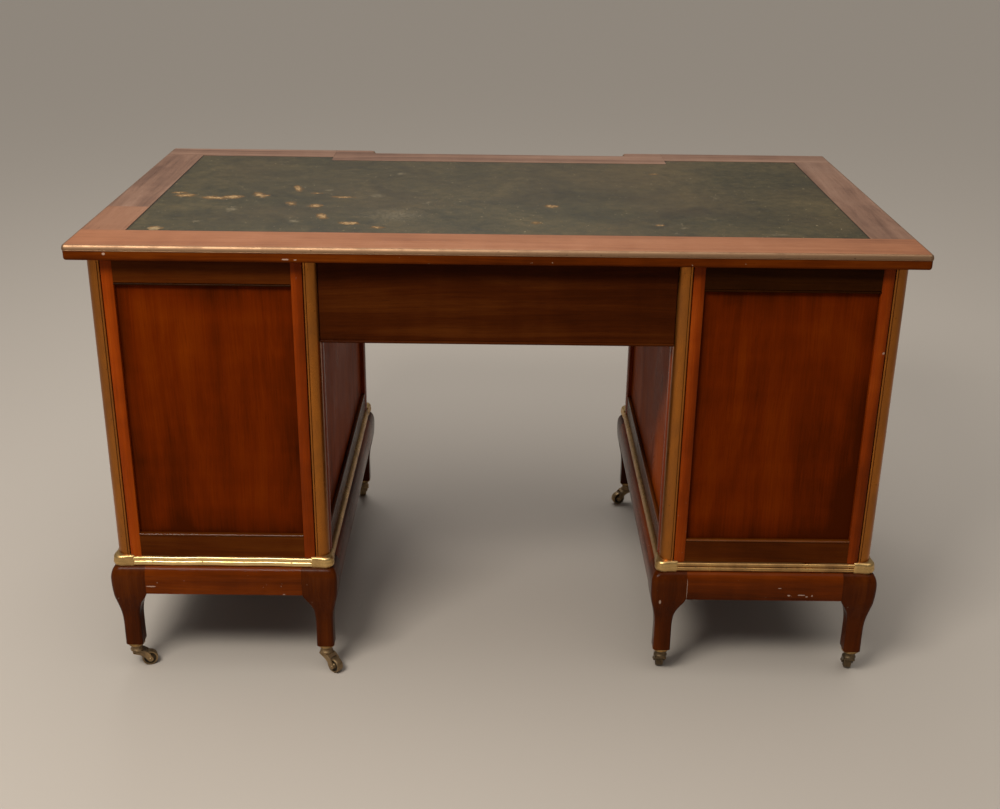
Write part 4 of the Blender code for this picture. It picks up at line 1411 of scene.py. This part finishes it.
def cockbead(low, high):
    """A fine rounded bead round a drawer front, in four mitred strips."""
    proud_y = low.y - COCKBEAD_PROUD
    behind_y = low.y + COCKBEAD_DEPTH
    profile = [(0.0, behind_y), (0.0, proud_y)]
    profile += [
        (COCKBEAD / 2 - COCKBEAD / 2 * math.cos(a), proud_y - COCKBEAD_ROUND * math.sin(a))
        for a in (math.radians(20 * k) for k in range(1, 9))
    ]
    profile += [(COCKBEAD, proud_y), (COCKBEAD, behind_y)]
    rings = []
    for corner in range(4):
        ring = []
        for inset, y in profile:
            x = (low.x + inset, high.x - inset)[corner in (1, 2)]
            z = (low.z + inset, high.z - inset)[corner in (2, 3)]
            ring.append((x, y, z))
        rings.append(ring)
    for i in range(4):
        yield i, loft([rings[i], rings[(i + 1) % 4]])


def knob(body, name, node, middle, face_y):
    """A turned brass knob on a rosette."""
    ball = [
        (KNOB_RADIUS * math.sin(a), KNOB_CENTRE + KNOB_RADIUS * 0.97 * math.cos(a))
        for a in (math.radians(turn) for turn in range(30, 146, 8))
    ]
    profile = [*KNOB_TIP, *ball, *KNOB_STEM, *KNOB_ROSETTE]
    shape = turned(profile, (middle[0], face_y, middle[1]), (0, -1, 0), 44)
    make(name, [(shape, metal("knob"))], body=body, nodes=[node])


def escutcheon(body, name, middle, face_y):
    """An oval keyhole plate, its keyhole and two pins."""
    count = 48
    depth = PLATE_DEPTH
    circle = [(math.cos(t), math.sin(t)) for t in (2 * math.pi * k / count for k in range(count))]
    slot_x, slot_z = KEYHOLE_SLOT
    keyhole = []
    for px, pz in circle:
        if pz < -0.62:
            keyhole.append((math.copysign(slot_x * min(1, abs(px) * 1.6), px), slot_z))
        else:
            keyhole.append((KEYHOLE_RADIUS * px, KEYHOLE_RADIUS * pz + 0.0016))
    oval = [(PLATE_RIM[0] * px, PLATE_RIM[1] * pz) for px, pz in circle]
    inner = [(PLATE_FACE[0] * px, PLATE_FACE[1] * pz) for px, pz in circle]

    def loop(outline, out):
        return [(middle[0] + px, face_y - out, middle[1] + pz) for px, pz in outline]

    rings = [loop(oval, 0.0), loop(oval, depth * 0.7), loop(inner, depth), loop(keyhole, depth)]
    rings.append(loop(keyhole, 0.0))
    parts = [(loft(rings, closed=True), metal("knob"))]
    # A dark sheet of painted shade just inside the keyhole.
    dark = [(px * 1.15, pz * 1.05) for px, pz in keyhole]
    parts.append((loft([loop(dark, 0.00015), loop(dark, -0.0002)]), shadow()))
    for way in (-1, 1):
        place = (middle[0], face_y - depth + 0.0001, middle[1] + way * PLATE_PIN_Z)
        parts.append((turned(PLATE_PIN_PROFILE, place, (0, -1, 0), 12), metal("caster")))
    make(name, parts, body=body)


def make_tray(body, name):
    """Five oak boards, the bottom set in between the walls."""
    low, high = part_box(f"{name}_drawer_tray")
    wall = TRAY_WALL
    x_in = low.x + wall + TRAY_SEAM
    x_out = high.x - wall - TRAY_SEAM
    y_in = low.y + wall + TRAY_SEAM
    y_out = high.y - wall - TRAY_SEAM
    floor_z = low.z + TRAY_FLOOR_Z
    pieces = {
        "side_left": (low, (low.x + wall, high.y, high.z), 1),
        "side_right": ((high.x - wall, low.y, low.z), high, 1),
        "front": ((x_in, low.y, low.z), (x_out, low.y + wall, high.z), 0),
        "back": ((x_in, high.y - wall, low.z), (x_out, high.y, high.z - TRAY_BACK_DROP), 0),
        "bottom": ((x_in, y_in, floor_z), (x_out, y_out, floor_z + TRAY_FLOOR), 0),
    }
    for part, (start, end, axis) in pieces.items():
        shape = block(start, end, 0.0012)
        nodes = [f"{name}_drawer_tray"] if part == "bottom" else []
        make(f"{name}_tray_{part}", [(shape, wood("oak", axis))], body, nodes)


def make_drawer(name):
    body = f"drawer_{name}"
    low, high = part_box(f"{name}_drawer_front")
    front = block(low, high)
    plank(f"{name}_front_board", front, "panel", 0, body, [f"{name}_drawer_front"])
    strips = [(shape, wood("rail", 0 if i % 2 == 0 else 2)) for i, shape in cockbead(low, high)]
    make(f"{name}_cockbead", strips, body)
    knobs = ("_left", "_right") if name == "centre" else ("",)
    for suffix in knobs:
        node = f"{name}_drawer_knob{suffix}"
        knob_low, knob_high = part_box(node)
        middle = ((knob_low.x + knob_high.x) / 2, (knob_low.z + knob_high.z) / 2)
        knob(body, f"{name}_knob{suffix}", node, middle, low.y - 0.0001)
    middle_x = (low.x + high.x) / 2
    middle_z = (low.z + high.z) / 2
    place = (middle_x, middle_z + (0.0 if name == "centre" else KEYHOLE_Z))
    escutcheon(body, f"{name}_keyhole_plate", place, low.y - 0.0001)
    make_tray(body, name)


def make_drawers():
    for name in ["centre"] + [f"{side}_{bay}" for side in SIDES for bay in BAYS]:
        make_drawer(name)


# ---- Casters ----


def caster_frame(name):
    """A matrix from a caster's own coordinates, trailing along +X, to the frame's."""
    joints = {joint["name"]: joint for joint in frame["joints"]}
    swivel = Vector(joints[f"swivel_{name}"]["pos_m"])
    axle = Vector(joints[f"wheel_{name}"]["pos_m"])
    trail = axle - swivel
    angle = math.atan2(trail.y, trail.x)
    place = Matrix.Translation((swivel.x, swivel.y, 0.0))
    return place @ Matrix.Rotation(angle, 4, "Z")


def moved(bm, matrix):
    bmesh.ops.transform(bm, matrix=matrix, verts=bm.verts)
    return bm


def cheek(y_low, y_high):
    """A side of the fork: a strap that sweeps from the neck down to a round boss at the axle."""
    outline = arc((CASTER_TRAIL, WHEEL_RADIUS), FORK_BOSS, -130, 60, 10)
    outline += [(0.0214, 0.0215), (0.0186, 0.0262), (0.0140, 0.0304), (0.0090, FORK_SHOULDER_Z)]
    outline += [(-0.0085, FORK_SHOULDER_Z), (-0.0088, 0.0305), (-0.0050, 0.0280), (0.0030, 0.0250)]
    outline += [(0.0092, 0.0206), (0.0130, 0.0152)]
    shape = loft([[(px, y, pz) for px, pz in outline] for y in (y_low, y_high)])
    return soften(shape, 0.0006, 2, 25.0)


def make_caster(name):
    """The horn (neck, bridge, hood, cheeks and axle) on its swivel, and the wheel on its axle."""
    place = caster_frame(name)

    def cast(shape, finish):
        return (moved(shape, place), metal("dark caster" if name in DARK_CASTERS else finish))

    parts = [cast(turned(CASTER_NECK, (0, 0, 0), (0, 0, 1), 32), "caster")]
    bridge = block((-0.0086, -FORK_OUTER, 0.0290), (0.0110, FORK_OUTER, 0.0330), 0.0014)
    parts.append(cast(bridge, "caster"))
    web = [(0.0088, 0.0326), (0.0138, 0.0301), (0.0158, 0.0284), (0.0151, 0.0272)]
    web += [(0.0110, 0.0279), (0.0080, 0.0292)]
    hood = loft([[(px, y, pz) for px, pz in web] for y in (-FORK_INNER, FORK_INNER)])
    parts.append(cast(hood, "caster"))
    axle_place = (CASTER_TRAIL, 0, WHEEL_RADIUS)
    for way in (-1, 1):
        y_low, y_high = sorted((way * FORK_INNER, way * FORK_OUTER))
        parts.append(cast(cheek(y_low, y_high), "caster"))
        origin = (CASTER_TRAIL, way * FORK_OUTER, WHEEL_RADIUS)
        parts.append(cast(turned(AXLE_HEAD, origin, (0, way, 0), 20), "caster"))
    ends = [(0.0, -FORK_OUTER), (AXLE_RADIUS, -FORK_OUTER)]
    axle = ends + [(radius, -z) for radius, z in reversed(ends)]
    parts.append(cast(turned(axle, axle_place, (0, 1, 0), 20), "wheel"))
    make(f"caster_horn_{name}", parts, f"caster_{name}", [f"caster_fork_{name}"])
    half = WHEEL_HALF_WIDTH
    hub = [(0.0026, half + 0.0004), (0.0046, half + 0.0004), (0.0052, half - 0.0004)]
    hub += [(0.0058, half - 0.0024)]
    # The web between hub and tyre is dark with dirt and painted shade.
    web = [(0.0054, half - 0.0022), (0.0106, half - 0.0022)]
    tyre = [(0.0100, half - 0.0024), (0.0104, half - 0.0004), (0.0112, half)]
    tyre += [(0.0126, half - 0.0004), (0.0133, half - 0.0016), (WHEEL_RADIUS, half - 0.0034)]
    parts = []
    for face, finish in ((hub, "wheel"), (web, "recess grime and shade"), (tyre, "wheel")):
        profile = face + [(radius, -z) for radius, z in reversed(face)]
        parts.append(cast(turned(profile, axle_place, (0, 1, 0), 44, closed=True), finish))
    make(f"wheel_disc_{name}", parts, f"wheel_{name}", [f"caster_wheel_{name}"])


def make_caster_plates():
    """The fixed plates under the middles of the legs' feet."""
    foot_z, out, inward = LEG_STATIONS[0]
    middle = (out - inward) / 2
    for name, place in corners():
        shape = turned(CASTER_PLATE, place(middle, middle, foot_z), (0, 0, 1), 44)
        make(f"caster_plate_{name}", [(shape, metal("elbow"))])


# ---- Everything ----

add_camera()
add_stage()
make_top_edge()
make_rim()
make_leather()
make_columns()
for pedestal_name, pedestal_side in SIDES.items():
    make_pedestal(pedestal_name, pedestal_side)
    make_plinth(pedestal_name, pedestal_side)
    make_moulding(pedestal_name, pedestal_side)
make_legs()
make_elbows()
make_kneehole()
make_drawers()
make_caster_plates()
for corner_name, _ in corners():
    make_caster(corner_name)

boxes = {"cad": CAD_BOX, "visual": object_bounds()}
{name: [list(low), list(high)] for name, (low, high) in boxes.items()}
